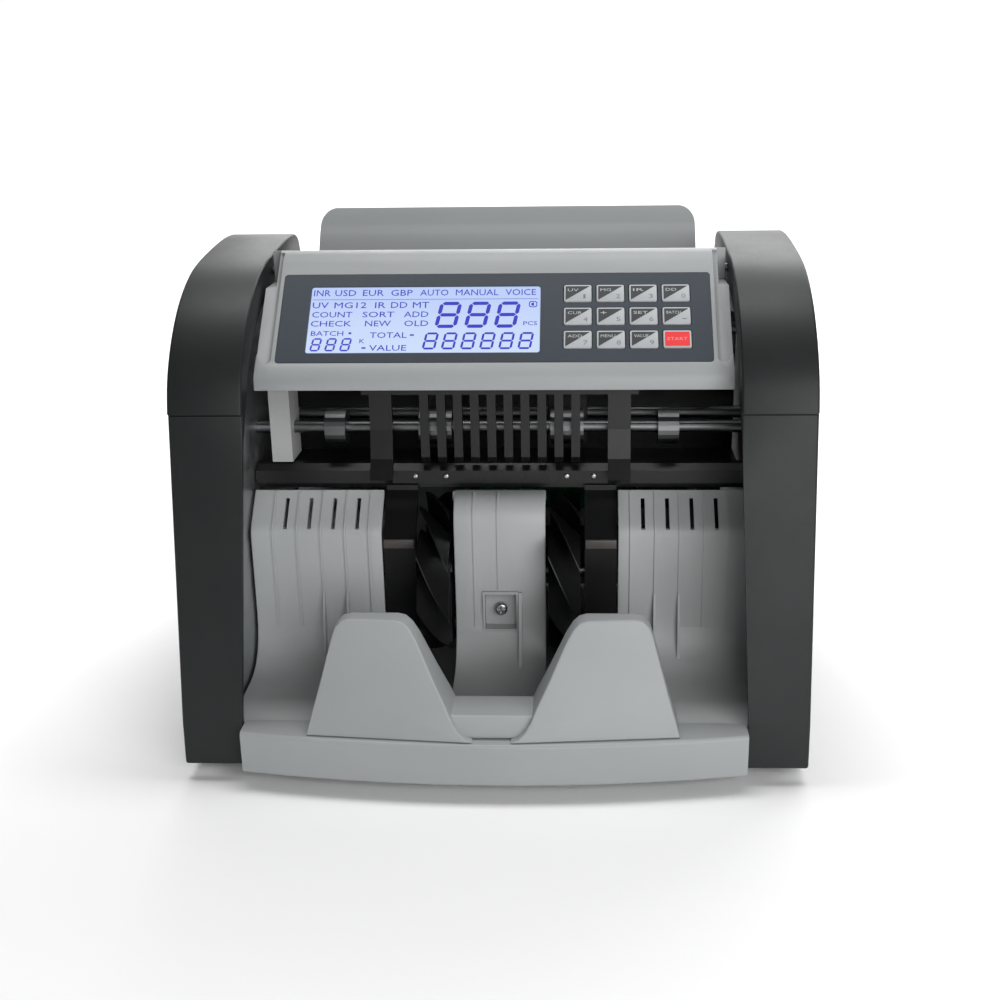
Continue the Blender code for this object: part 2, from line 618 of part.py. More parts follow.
def make_side_back(name, side, mats):
    """Side panel with upright ribs and four slots along its slanting top."""
    obj = add_mesh(name, prism_x(back_profile(False), side * SIDE_BACK_IN, side * SIDE_BACK_OUT), mats["light"])
    face = back_face(False)
    proud = shifted_face(face, -0.9)
    sunk = shifted_face(face, 1.1)
    ribs = []
    for k in range(5):
        x = side * (62.5 + 11.6 * k)
        rib = proud[3:7] + [(BACK_FACE_Y + 1.6, BACK_FOLD_Z - 1.0)] + sunk[4:6][::-1] + [(-46.0, 29.6)]
        if k in (1, 2):
            rib = [(-57.0, 27.4), (-50.0, 31.5), (-45.0, 42.0), (-43.0, 60.0), (-38.9, 64.0), proud[6],
                   (BACK_FACE_Y + 1.6, BACK_FOLD_Z - 1.0)] + sunk[3:6][::-1] + [(-50.0, 27.2)]
        ribs.append(prism_x(rib, x - 0.8, x + 0.8))
    carve(obj, ribs, "UNION")
    slots = [block(side * (67.4 + 11.6 * k), side * (69.2 + 11.6 * k), -35.5, -26.0, 90.0, 115.0)
             for k in range(4)]
    return carve(obj, slots)


def make_centre_back(mats):
    """Centre panel with a rounded top lip and a square screw recess."""
    outline = back_profile(True)
    obj = add_mesh("stacker_back_centre", prism_x(outline, -CENTRE_BACK_HALF, CENTRE_BACK_HALF), mats["light"])
    boss = block(-8.6, 8.6, -40.0, -29.0, 43.6, 64.4)
    fin = prism_x([(-50.0, 28.0), (-44.0, 44.0), (-39.4, 64.0), (-37.0, 64.0), (-37.0, 40.0), (-44.0, 32.0)],
                  8.8, 10.4)
    carve(obj, [boss, fin], "UNION")
    recess = block(-7.6, 7.6, -60.0, -33.0, 45.0, 63.0)
    return carve(obj, [recess])


def make_centre_screw(mats):
    """Cross-head screw in the recess, its head facing the operator."""
    bm = bmesh.new()
    rings = []
    for radius, y in ((2.0, -37.8), (2.9, -36.8), (3.1, -35.6), (3.1, -33.4)):
        rings.append([bm.verts.new((a, y, 54.0 + b)) for a, b in circle(radius, 20)])
    bm.faces.new(rings[0])
    bm.faces.new(rings[-1])
    for near, far in zip(rings, rings[1:]):
        for i in range(20):
            j = (i + 1) % 20
            bm.faces.new((near[i], near[j], far[j], far[i]))
    obj = add_mesh("centre_screw", bm, mats["steel"])
    cross = [block(-0.45, 0.45, -39.0, -36.6, 52.2, 55.8), block(-1.8, 1.8, -39.0, -36.6, 53.55, 54.45)]
    return carve(obj, cross)


def wheel_section(turn):
    """Front-to-back section of a stacking wheel: a hub with swept blades."""
    points = []
    hub = 13.0
    sweep = math.radians(70.0)
    for blade in range(WHEEL_BLADES):
        base = turn + 2.0 * math.pi * blade / WHEEL_BLADES
        out_side = []
        in_side = []
        for step in range(5):
            share = step / 4.0
            radius = hub + (WHEEL_R - hub) * share
            angle = base + sweep * share
            half = (1.9 - 0.9 * share) / radius
            out_side.append((radius * math.cos(angle - half), radius * math.sin(angle - half)))
            in_side.append((radius * math.cos(angle + half), radius * math.sin(angle + half)))
        points += out_side + in_side[::-1]
    return points


def make_wheel(name, side, mats):
    """Stacking wheel with slanting blades, bored for its shaft."""
    x0 = side * WHEEL_X - WHEEL_W / 2
    bm = bmesh.new()
    rings = []
    for share in (0.0, 0.25, 0.5, 0.75, 1.0):
        section = wheel_section(math.radians(WHEEL_TWIST) * share)
        rings.append([bm.verts.new((x0 + WHEEL_W * share, WHEEL_Y + a, WHEEL_Z + b)) for a, b in section])
    bm.faces.new(rings[0])
    bm.faces.new(rings[-1])
    count = len(rings[0])
    for near, far in zip(rings, rings[1:]):
        for i in range(count):
            j = (i + 1) % count
            bm.faces.new((near[i], near[j], far[j], far[i]))
    obj = add_mesh(name, bm, mats["black"])
    bore = turned_x([(x0 - 2.0, SHAFT_R + 0.3), (x0 + WHEEL_W + 2.0, SHAFT_R + 0.3)], WHEEL_Y, WHEEL_Z, 20)
    carve(obj, [bore])
    return set_pivot(obj, (side * WHEEL_X, WHEEL_Y, WHEEL_Z))


# ---- shafts, rollers, motor and belts --------------------------------------------------------------
def make_shaft(name, y, z, outline, mats):
    obj = soften_rounds(add_mesh(name, turned_x(outline, y, z, 24), mats["steel"]))
    return set_pivot(obj, (0.0, y, z))


def make_shafts(mats):
    """Four cross shafts; the pulley seats are turned on the shafts themselves."""
    left = -FRAME_X - FRAME_T
    make_shaft("stacker_shaft", WHEEL_Y, WHEEL_Z,
               [(-131.5, SHAFT_R), (-131.0, 12.0), (-124.4, 12.0), (-124.0, SHAFT_R), (124.0, SHAFT_R)], mats)
    make_shaft("transport_shaft", TRANSPORT_Y, TRANSPORT_Z,
               [(left - 2.0, SHAFT_R), (-86.0, SHAFT_R), (-86.0, 8.6), (-76.0, 8.6), (-76.0, SHAFT_R),
                (-40.0, SHAFT_R), (-40.0, 8.6), (-24.0, 8.6), (-24.0, SHAFT_R), (24.0, SHAFT_R),
                (24.0, 8.6), (40.0, 8.6), (40.0, SHAFT_R), (76.0, SHAFT_R), (76.0, 8.6), (86.0, 8.6),
                (86.0, SHAFT_R), (124.0, SHAFT_R)], mats)
    make_shaft("drive_shaft", DRIVE_Y, DRIVE_Z,
               [(-131.5, SHAFT_R), (-131.0, 12.0), (-124.4, 12.0), (-124.0, SHAFT_R), (124.0, SHAFT_R),
                (124.4, 9.0), (131.0, 9.0), (131.5, SHAFT_R)], mats)
    make_shaft("feed_shaft", FEED_Y, FEED_Z,
               [(-124.0, SHAFT_R), (124.0, SHAFT_R), (124.4, 9.0), (131.0, 9.0), (131.5, SHAFT_R)], mats)


def make_roller(name, side, y, z, radius, width, mats):
    """Rubber-faced roller bored to sit on its shaft."""
    mid = side * 32.0
    x0 = mid - width / 2
    x1 = mid + width / 2
    outline = [(x0, radius - 0.8), (x0 + 0.8, radius), (x1 - 0.8, radius), (x1, radius - 0.8)]
    obj = add_mesh(name, turned_x(outline, y, z, 32, SHAFT_R + 0.3), mats["rubber"])
    return set_pivot(soften_rounds(obj), (mid, y, z))


def make_motor(mats):
    motor = add_mesh("main_motor", turned_x([(-119.6, 21.0), (-118.0, 22.5), (-64.0, 22.5), (-62.0, 20.0),
                                             (-62.0, 8.0), (-57.0, 7.0)], MOTOR_Y, MOTOR_Z, 28), mats["zinc"])
    foot = block(-112.0, -70.0, 48.0, 84.0, 9.2, 44.0)
    carve(motor, [foot], "UNION")
    soften_rounds(motor)
    outline = [(-119.2, 2.4), (-123.6, 2.4), (-124.0, 7.4), (-124.6, 6.6), (-130.8, 6.6), (-131.4, 7.4),
               (-132.0, 7.4), (-132.4, 2.4)]
    socket = turned_x([(-121.0, 2.8), (-116.6, 2.8)], MOTOR_Y, MOTOR_Z, 16)
    carve(motor, [socket])
    pulley = add_mesh("motor_pulley", turned_x(outline, MOTOR_Y, MOTOR_Z, 24), mats["steel"])
    set_pivot(soften_rounds(pulley), (-127.7, MOTOR_Y, MOTOR_Z))


def hull_outline(circles, extra):
    """Tight loop around several circles, each given as (y, z, radius)."""
    points = []
    for cy, cz, radius in circles:
        points += [(cy + a, cz + b) for a, b in circle(radius + extra, 48)]
    points = sorted(set((round(a, 5), round(b, 5)) for a, b in points))

    def turn(o, a, b):
        return (a[0] - o[0]) * (b[1] - o[1]) - (a[1] - o[1]) * (b[0] - o[0])

    chains = []
    for ordered in (points, points[::-1]):
        chain = []
        for point in ordered:
            while len(chain) > 1 and turn(chain[-2], chain[-1], point) <= 0.0:
                chain.pop()
            chain.append(point)
        chains.append(chain[:-1])
    return chains[0] + chains[1]


def make_belt(name, circles, x0, x1, mats):
    obj = add_mesh(name, prism_x(hull_outline(circles, 1.7), x0, x1), mats["rubber"])
    carve(obj, [prism_x(hull_outline(circles, 0.35), x0 - 2.0 if x0 < x1 else x0 + 2.0,
                        x1 + 2.0 if x0 < x1 else x1 - 2.0)])
    return obj


def make_belts(mats):
    make_belt("drive_belt", [(MOTOR_Y, MOTOR_Z, 6.6), (DRIVE_Y, DRIVE_Z, 12.0), (WHEEL_Y, WHEEL_Z, 12.0)],
              -130.4, -125.2, mats)
    make_belt("feed_belt", [(DRIVE_Y, DRIVE_Z, 9.0), (FEED_Y, FEED_Z, 9.0)], 125.2, 130.4, mats)


# ---- fixed parts of the note path ------------------------------------------------------------------
def make_guide_comb(mats):
    """Black comb of ten narrow fingers and two wide curled ones, hung from one bar."""
    obj = add_mesh("guide_comb", block(-66.0, 66.0, -19.0, -14.5, 157.0, 162.0), mats["black"])
    fingers = []
    for k in range(10):
        x = -36.2 + 8.05 * k
        side_view = [(-15.0, 158.0), (-18.6, 158.0), (-18.6, 126.0), (-16.6, 122.8), (-14.6, 122.8),
                     (-14.8, 127.0)]
        fingers.append(prism_x(side_view, x - 2.1, x + 2.1))
    for mid in (-57.0, 57.0):
        side_view = [(-15.0, 158.0), (-18.8, 158.0), (-19.4, 140.0), (-22.0, 126.0), (-27.5, 117.0),
                     (-26.0, 115.2), (-19.0, 124.6), (-16.4, 140.0)]
        fingers.append(prism_x(side_view, mid - 5.4, mid + 5.4))
    return carve(obj, fingers, "UNION")


def make_sensor_bar(mats):
    outline = [(-18.0, 112.6), (-9.0, 112.6), (-9.0, 121.6), (-14.0, 121.6), (-18.0, 119.0)]
    return add_mesh("sensor_bar", prism_x(outline, -119.8, 119.8), mats["black"])


def make_left_bracket(mats):
    """White bearing bracket at the left end of the transport shaft."""
    obj = add_mesh("bearing_bracket", block(-112.0, -102.0, -14.0, 6.0, 122.4, 158.0), mats["white"])
    bore = turned_x([(-114.0, SHAFT_R + 0.35), (-100.0, SHAFT_R + 0.35)], TRANSPORT_Y, TRANSPORT_Z, 20)
    return carve(obj, [bore])


def make_inner_deck(mats):
    """Black moulding over the wheels, with the plates beside them and the wall behind the rollers."""
    outline = [(-14.0, 109.4), (50.0, 109.4), (50.0, 184.0), (47.6, 184.0), (47.6, 111.6), (-14.0, 111.6)]
    obj = add_mesh("inner_deck", prism_x(outline, -118.6, 118.6), mats["black"])
    bays = []
    for s in (-1.0, 1.0):
        bay = [(-34.0, 30.0), (-36.0, 30.0), (-36.0, 90.0), (-17.5, 109.0), (-17.5, 111.6), (-12.0, 111.6),
               (-12.0, 109.5), (-16.2, 108.0), (-34.0, 89.2)]
        bays.append(prism_x(bay, s * 40.6, s * 56.0))
    carve(obj, bays, "UNION")
    return obj


# ---- electrics -------------------------------------------------------------------------------------
def make_main_board(mats):
    """Circuit board standing in front of the rear wall, with its tallest parts moulded on."""
    obj = add_mesh("main_board", block(-34.0, 100.0, 102.0, 103.6, 60.0, 150.0), mats["board"])
    parts = [block(-20.0, 4.0, 90.0, 102.6, 70.0, 92.0), block(30.0, 52.0, 95.0, 102.6, 110.0, 132.0),
             block(70.0, 90.0, 84.0, 102.6, 72.0, 100.0)]
    return carve(obj, parts, "UNION")


def make_power_parts(mats):
    inlet = add_mesh("power_inlet", block(-87.8, -60.2, 90.0, 112.4, 20.2, 41.8), mats["black"])
    flange = block(-90.6, -57.4, 112.3, 114.4, 17.2, 44.8)
    carve(inlet, [flange], "UNION")
    socket = prism_y([(-83.0, 24.0), (-65.0, 24.0), (-65.0, 34.0), (-69.0, 38.4), (-79.0, 38.4), (-83.0, 34.0)],
                     98.0, 118.0)
    carve(inlet, [socket])
    tilt = Matrix.Rotation(math.radians(SWITCH_TILT), 2)
    level = [(0.4, -10.0), (3.6, -10.4), (5.6, -0.4), (3.2, 10.4), (0.4, 10.0), (-3.6, 0.0)]
    outline = [tuple(tilt @ Vector(point) + Vector((110.0, 31.0))) for point in level]
    rocker = add_mesh("power_switch", prism_x(outline, -49.6, -36.4), mats["black"])
    set_pivot(rocker, (-43.0, 110.0, 31.0))


def build():
    clear_scene()
    mats = make_materials()
    make_base_tray(mats)
    for name, x, y in (("foot_front_left", -96.0, -86.0), ("foot_front_right", 96.0, -86.0),
                       ("foot_rear_left", -96.0, 98.0), ("foot_rear_right", 96.0, 98.0)):
        make_foot(name, x, y, mats)
    for tag, side in (("left", -1.0), ("right", 1.0)):
        make_side_cover("side_cover_" + tag, side, mats)
        make_side_frame("side_frame_" + tag, side, mats)
        make_note_guide("note_guide_" + tag, side, mats)
        make_side_back("stacker_back_" + tag, side, mats)
        make_wheel("stacker_wheel_" + tag, side, mats)
        make_roller("drive_roller_" + tag, side, DRIVE_Y, DRIVE_Z, 18.6, 20.0, mats)
        make_roller("feed_roller_" + tag, side, FEED_Y, FEED_Z, 13.4, 18.0, mats)
    make_rear_cover(mats)
    make_carry_handle(mats)
    make_hopper_plate(mats)
    make_hopper_tray(mats)
    make_tension_knob(mats)
    make_panel_housing(mats)
    make_panel_overlay(mats)
    make_display(mats)
    make_hinge_rod(mats)
    for name, x, v, red in key_centres():
        make_key(name, x, v, red, mats)
    make_stop_plate(mats)
    make_centre_back(mats)
    make_centre_screw(mats)
    make_shafts(mats)
    make_motor(mats)
    make_belts(mats)
    make_guide_comb(mats)
    make_sensor_bar(mats)
    make_left_bracket(mats)
    make_inner_deck(mats)
    make_main_board(mats)
    make_power_parts(mats)


build()
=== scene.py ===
"""Looks of a banknote counting machine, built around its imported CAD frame."""
import json
import math

import bmesh
import bpy
from mathutils import Matrix, Vector


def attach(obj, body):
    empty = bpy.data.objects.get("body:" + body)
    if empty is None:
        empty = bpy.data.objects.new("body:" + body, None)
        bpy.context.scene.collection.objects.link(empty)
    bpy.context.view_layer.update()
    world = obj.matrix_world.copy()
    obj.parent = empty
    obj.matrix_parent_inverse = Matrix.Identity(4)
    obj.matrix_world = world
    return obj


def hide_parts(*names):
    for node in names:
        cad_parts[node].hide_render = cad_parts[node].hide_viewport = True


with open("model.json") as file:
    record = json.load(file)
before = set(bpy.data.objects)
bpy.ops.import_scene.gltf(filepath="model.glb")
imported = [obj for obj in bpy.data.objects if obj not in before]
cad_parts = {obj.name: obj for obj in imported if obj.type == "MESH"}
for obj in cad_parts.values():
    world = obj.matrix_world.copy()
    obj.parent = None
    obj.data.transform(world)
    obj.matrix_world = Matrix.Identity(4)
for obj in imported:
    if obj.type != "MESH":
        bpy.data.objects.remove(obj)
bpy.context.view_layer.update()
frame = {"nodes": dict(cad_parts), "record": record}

MM = 0.001
QUARTER_TURN = 1.5708


# ---- shader building -------------------------------------------------------------------------------
class Value:
    """A number that varies over a surface: one shader socket with Python's operators."""

    def __init__(self, finish, socket):
        self.finish = finish
        self.socket = socket

    def _math(self, operation, first, second):
        return self.finish.node("ShaderNodeMath", {"operation": operation}, {0: first, 1: second})

    def __add__(self, other):
        return self._math("ADD", self, other)

    def __radd__(self, other):
        return self._math("ADD", other, self)

    def __sub__(self, other):
        return self._math("SUBTRACT", self, other)

    def __rsub__(self, other):
        return self._math("SUBTRACT", other, self)

    def __mul__(self, other):
        return self._math("MULTIPLY", self, other)

    def __rmul__(self, other):
        return self._math("MULTIPLY", other, self)

    def ramp(self, low, high):
        """Smooth rise from 0 to 1 between two limits."""
        return self.finish.node("ShaderNodeMapRange", {"interpolation_type": "SMOOTHSTEP"},
                                {0: self, 1: low, 2: high})


class Finish:
    """One node material under construction."""

    def __init__(self, name):
        self.material = bpy.data.materials.new(name)
        self.material.use_nodes = True
        self.tree = self.material.node_tree
        self.shader = self.tree.nodes["Principled BSDF"]

    def feed(self, socket, value):
        """Link a varying value to a socket, or set a plain one on it."""
        if isinstance(value, Value):
            self.tree.links.new(value.socket, socket)
        else:
            socket.default_value = value

    def node(self, kind, settings=None, inputs=None, output=0):
        """Add a node: its settings first, then its values and links."""
        made = self.tree.nodes.new(kind)
        for key, value in (settings or {}).items():
            setattr(made, key, value)
        for key, value in (inputs or {}).items():
            self.feed(made.inputs[key], value)
        return Value(self, made.outputs[output])

    def place(self):
        """Place on the surface in metres, in the object's own frame."""
        return self.node("ShaderNodeTexCoord", output="Object")

    def axis(self, vector, name):
        return self.node("ShaderNodeSeparateXYZ", inputs={0: vector}, output=name)

    def stretched(self, vector, scale):
        return self.node("ShaderNodeVectorMath", {"operation": "MULTIPLY"}, {0: vector, 1: scale})

    def noise(self, vector, scale, detail=2.0, roughness=0.5):
        return self.node("ShaderNodeTexNoise", inputs={
            "Vector": vector, "Scale": scale, "Detail": detail, "Roughness": roughness})

    def mix(self, share, first, second):
        made = self.tree.nodes.new("ShaderNodeMix")
        made.data_type = "RGBA"
        self.feed(made.inputs[0], share)
        self.feed(made.inputs[6], first)
        self.feed(made.inputs[7], second)
        return Value(self, made.outputs[2])

    def bump(self, height, distance):
        return self.node("ShaderNodeBump", inputs={"Height": height, "Distance": distance})

    def surface(self, **sockets):
        """Feed the shader's own sockets, named with underscores for their spaces."""
        for key, value in sockets.items():
            self.feed(self.shader.inputs[key.replace("_", " ")], value)
        return self.material


def rgba(colour, shade=1.0):
    return (colour[0] * shade, colour[1] * shade, colour[2] * shade, 1.0)


# ---- materials -------------------------------------------------------------------------------------
def moulded_plastic(name, colour, roughness, grain=0.00004, sheen=0.5, spread=0.06):
    """Injection-moulded plastic: spark-eroded grain, faint flow marks and handled patches."""
    f = Finish(name)
    place = f.place()
    flow = f.noise(f.stretched(place, (7.0, 7.0, 16.0)), 1.6, 3.0)
    handled = f.noise(place, 34.0, 4.0, 0.6)
    fine = f.noise(place, 2600.0, 2.0, 0.6)
    coarse = f.noise(place, 900.0, 2.0, 0.5)
    tone = f.mix(flow.ramp(0.3, 0.7), rgba(colour, 1.0 - spread), rgba(colour, 1.0 + spread))
    rough = roughness + (handled - 0.5) * 0.16 + (coarse - 0.5) * 0.10
    normal = f.bump(fine * 0.6 + coarse * 0.4, grain)
    return f.surface(Base_Color=tone, Roughness=rough, Normal=normal, Specular_IOR_Level=sheen)


def brushed_metal(name, colour, roughness):
    """Ground or drawn metal with fine lines running from side to side."""
    f = Finish(name)
    place = f.place()
    lines = f.noise(f.stretched(place, (4.0, 900.0, 900.0)), 1.0, 3.0, 0.7)
    patches = f.noise(place, 55.0, 3.0, 0.6)
    tone = f.mix(patches.ramp(0.35, 0.7), rgba(colour, 0.86), rgba(colour, 1.05))
    rough = roughness + (lines - 0.5) * 0.22 + (patches - 0.5) * 0.12
    return f.surface(Base_Color=tone, Roughness=rough, Metallic=1.0, Normal=f.bump(lines, 0.00002))


def plated_sheet(name):
    """Zinc-plated sheet: cloudy bluish crystals over a dull metal."""
    f = Finish(name)
    place = f.place()
    cells = f.node("ShaderNodeTexVoronoi", inputs={"Vector": place, "Scale": 190.0})
    clouds = f.noise(place, 26.0, 4.0, 0.6)
    tone = f.mix(clouds.ramp(0.3, 0.7), (0.40, 0.42, 0.44, 1.0), (0.55, 0.56, 0.55, 1.0))
    rough = 0.34 + cells * 0.16 + (clouds - 0.5) * 0.2
    return f.surface(Base_Color=tone, Roughness=rough, Metallic=1.0, Normal=f.bump(cells, 0.00001))


def soft_rubber(name, colour):
    """Matt rubber with fine bloom."""
    f = Finish(name)
    place = f.place()
    bloom = f.noise(place, 60.0, 4.0, 0.65)
    grit = f.noise(place, 1900.0, 2.0, 0.6)
    tone = f.mix(bloom.ramp(0.35, 0.75), rgba(colour), rgba(colour, 1.8))
    return f.surface(Base_Color=tone, Roughness=0.78 + (bloom - 0.5) * 0.2, Normal=f.bump(grit, 0.00005))


def circuit_board(name):
    """Green solder mask over a grid of copper tracks."""
    f = Finish(name)
    place = f.place()
    tracks = f.node("ShaderNodeTexBrick", inputs={
        "Vector": f.node("ShaderNodeMapping", inputs={
            "Vector": place, "Rotation": (QUARTER_TURN, 0.0, 0.0)}),
        "Scale": 160.0, "Mortar Size": 0.03, "Color1": (0.0, 0.0, 0.0, 1.0),
        "Color2": (0.2, 0.2, 0.2, 1.0), "Mortar": (1.0, 1.0, 1.0, 1.0)}, output="Fac")
    cloud = f.noise(place, 90.0, 2.0)
    tone = f.mix(tracks, (0.010, 0.105, 0.040, 1.0), (0.030, 0.230, 0.090, 1.0))
    return f.surface(Base_Color=tone, Roughness=0.36 + cloud * 0.2, Normal=f.bump(tracks, 0.00004))


def overlay_film(name):
    """Slate printed film with a fine velvet grain."""
    f = Finish(name)
    place = f.place()
    velvet = f.noise(place, 3400.0, 2.0, 0.7)
    cloud = f.noise(place, 14.0, 2.0)
    tone = f.mix(cloud.ramp(0.3, 0.7), (0.024, 0.033, 0.045, 1.0), (0.028, 0.038, 0.050, 1.0))
    return f.surface(Base_Color=tone, Roughness=0.42 + (velvet - 0.5) * 0.2,
                     Normal=f.bump(velvet, 0.00003), Specular_IOR_Level=0.35)


SCREEN_RISE = (0.184, 0.211)


def backlit_screen(name):
    """Display glass lit from its edge: pale blue, brighter along the bottom."""
    f = Finish(name)
    place = f.place()
    rise = f.axis(place, "Z").ramp(*SCREEN_RISE)
    cloud = f.noise(place, 22.0, 2.0)
    glow = f.mix(rise * 0.7 + cloud * 0.3, (0.68, 0.80, 1.0, 1.0), (0.50, 0.62, 0.97, 1.0))
    f.feed(f.shader.inputs["Emission Strength"], 0.78)
    return f.surface(Base_Color=(0.10, 0.12, 0.18, 1.0), Emission_Color=glow,
                     Roughness=0.10 + cloud * 0.06, Specular_IOR_Level=0.3)


def screen_ink(name):
    """Blue-violet liquid-crystal segments, a little uneven in density."""
    f = Finish(name)
    place = f.place()
    density = f.noise(place, 240.0, 2.0)
    f.feed(f.shader.inputs["Emission Strength"], 1.0)
    glow = f.mix(density, (0.030, 0.030, 0.42, 1.0), (0.050, 0.050, 0.52, 1.0))
    return f.surface(Base_Color=(0.01, 0.01, 0.05, 1.0), Emission_Color=glow,
                     Roughness=0.25 + density * 0.1, Specular_IOR_Level=0.2)


LIGHT_GREY = (0.285, 0.297, 0.301)
DARK_GREY = (0.0125, 0.0142, 0.0145)
BLACK = (0.0045, 0.0045, 0.0047)
# Painted light: a paler copy of LIGHT_GREY for the stacker panels, standing in for the light that reaches
# into the pocket.
POCKET_GREY_PAINTED_LIGHT = (0.38, 0.392, 0.395)
KEY_GREY = (0.10, 0.11, 0.13)
START_RED = (0.72, 0.020, 0.022)
# Painted shade: the steel is darkened far below real steel because the shafts sit in shade inside the
# machine.
STEEL_PAINTED_SHADE = (0.15, 0.153, 0.157)
ZINC = (0.42, 0.42, 0.43)
RUBBER_BLACK = (0.018, 0.018, 0.018)
NYLON_WHITE = (0.34, 0.345, 0.34)

FINISH = {
    "light_plastic": moulded_plastic("light_grey_abs", LIGHT_GREY, 0.46, 0.00003, 0.4, 0.03),
    "dark_plastic": moulded_plastic("dark_grey_abs", DARK_GREY, 0.44, 0.00005, 0.25, 0.06),
    "black_plastic": moulded_plastic("black_nylon", BLACK, 0.36, 0.00004, 0.35, 0.15),
    "overlay_film": overlay_film("slate_film"),
    "display_glass": backlit_screen("display_glow"),
    "key_film": moulded_plastic("key_film", KEY_GREY, 0.42, 0.00002),
    "red_key_film": moulded_plastic("red_film", START_RED, 0.40, 0.00002),
    "circuit_board": circuit_board("green_board"),
    # Painted shade: the shaft steel is darkened to stand in for the shade inside the machine.
    "bright_steel": brushed_metal("ground_steel_painted_shade", STEEL_PAINTED_SHADE, 0.36),
    "plated_sheet": plated_sheet("zinc_sheet"),
    "rubber": soft_rubber("black_rubber", RUBBER_BLACK),
    "white_nylon": moulded_plastic("white_nylon", NYLON_WHITE, 0.48, 0.00002),
}
# Painted light: the stacker panels' light grey ABS made paler to stand in for light falling into the
# pocket.
POCKET_PAINTED_LIGHT_FINISH = moulded_plastic("light_grey_abs_painted_light", POCKET_GREY_PAINTED_LIGHT, 0.44, 0.00003, 0.4, 0.03)
SCREW_FINISH = brushed_metal("screw_zinc", ZINC, 0.28)


def dress_cad_nodes():
    """Give every carried-over node the finish of its own slot."""
    for part in frame["record"]["subparts"]:
        mesh = frame["nodes"][part["node"]].data
        mesh.materials.clear()
        mesh.materials.append(FINISH[part["material_slot"]])


# ---- modelling by operators ------------------------------------------------------------------------
def deselect():
    """Leave edit mode and select nothing."""
    if bpy.context.object is not None and bpy.context.object.mode != "OBJECT":
        bpy.ops.object.mode_set(mode="OBJECT")
    bpy.ops.object.select_all(action="DESELECT")


def only(piece):
    """Make one piece the selected and active one."""
    deselect()
    piece.select_set(True)
    bpy.context.view_layer.objects.active = piece


def edit_all(piece):
    """Open one piece in edit mode with all of it selected."""
    only(piece)
    bpy.ops.object.mode_set(mode="EDIT")
    bpy.ops.mesh.select_all(action="SELECT")


def close_outward():
    """Turn every face of the piece in edit mode outward and leave edit mode."""
    bpy.ops.mesh.select_all(action="SELECT")
    bpy.ops.mesh.normals_make_consistent(inside=False)
    bpy.ops.object.mode_set(mode="OBJECT")


def outline(name, corners):
    """A corner point extruded from corner to corner (millimetres), closed into one face."""
    points = [Vector(corner) * MM for corner in corners]
    deselect()
    bpy.ops.mesh.primitive_plane_add(size=0.001, location=points[0])
    piece = bpy.context.object
    piece.name = name
    bpy.ops.object.transform_apply(location=True)
    bpy.ops.object.mode_set(mode="EDIT")
    bpy.ops.mesh.select_mode(type="VERT")
    bpy.ops.mesh.select_all(action="SELECT")
    bpy.ops.mesh.merge(type="CENTER")
    for before, after in zip(points, points[1:]):
        bpy.ops.mesh.extrude_vertices_move(TRANSFORM_OT_translate={"value": after - before})
    bpy.ops.mesh.select_all(action="SELECT")
    bpy.ops.mesh.edge_face_add()
    bpy.ops.object.mode_set(mode="OBJECT")
    return piece


def pull(piece, vector):
    """Extrude the piece's one face into a solid and turn its faces outward."""
    edit_all(piece)
    bpy.ops.mesh.extrude_region_move(TRANSFORM_OT_translate={"value": Vector(vector) * MM})
    close_outward()
    return piece


def side_solid(name, side_view, x0, x1):
    """Solid with a given side view (y, z), from one X to another."""
    return pull(outline(name, [(x0, y, z) for y, z in side_view]), (x1 - x0, 0.0, 0.0))


def front_solid(name, front_view, y0, y1):
    """Solid with a given front view (x, z), from one Y to another."""
    return pull(outline(name, [(x, y0, z) for x, z in front_view]), (0.0, y1 - y0, 0.0))


def box_solid(name, low, high):
    """Block between two opposite corners."""
    return side_solid(name, [(low[1], low[2]), (high[1], low[2]), (high[1], high[2]), (low[1], high[2])],
                      low[0], high[0])


def apply_modifier(piece, kind, **settings):
    """Add one modifier with its settings and apply it at once."""
    only(piece)
    modifier = piece.modifiers.new("step", kind)
    for key, value in settings.items():
        setattr(modifier, key, value)
    bpy.ops.object.modifier_apply(modifier="step")
    return piece


def round_edges(piece, width, segments=3, angle=32.0):
    """Bevel every edge sharper than the angle by a width in millimetres."""
    return apply_modifier(piece, "BEVEL", width=width * MM, segments=segments, limit_method="ANGLE",
                          angle_limit=math.radians(angle), harden_normals=False)


def combine(piece, operation, others):
    """Work other solids into a piece one after another; they are used up."""
    for other in others:
        apply_modifier(piece, "BOOLEAN", operation=operation, object=other, solver="EXACT")
        bpy.data.objects.remove(other, do_unlink=True)


def cut(piece, *tools):
    """Cut tool solids out of a piece."""
    combine(piece, "DIFFERENCE", tools)


def weld_on(piece, *others):
    """Join other solids into a piece as one closed body."""
    combine(piece, "UNION", others)


def smooth(piece, angle):
    """Shade smooth across every edge flatter than the angle."""
    only(piece)
    bpy.ops.object.shade_smooth_by_angle(angle=math.radians(angle))


def finish_piece(piece, body, slot, stands_for=(), finish=None, angle=35.0):
    """Shade, dress and hang a finished piece on its body."""
    smooth(piece, angle)
    piece.data.materials.clear()
    piece.data.materials.append(finish or FINISH[slot])
    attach(piece, body)
    if stands_for:
        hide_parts(*stands_for)


def copy_of(piece, name):
    """A copy with its own mesh."""
    twin = piece.copy()
    twin.data = piece.data.copy()
    twin.name = name
    bpy.context.scene.collection.objects.link(twin)
    return twin


def mirrored(piece, name):
    """The same piece on the other side of the machine."""
    twin = copy_of(piece, name)
    only(twin)
    twin.scale.x = -1.0
    bpy.ops.object.transform_apply(scale=True)
    edit_all(twin)
    close_outward()
    return twin


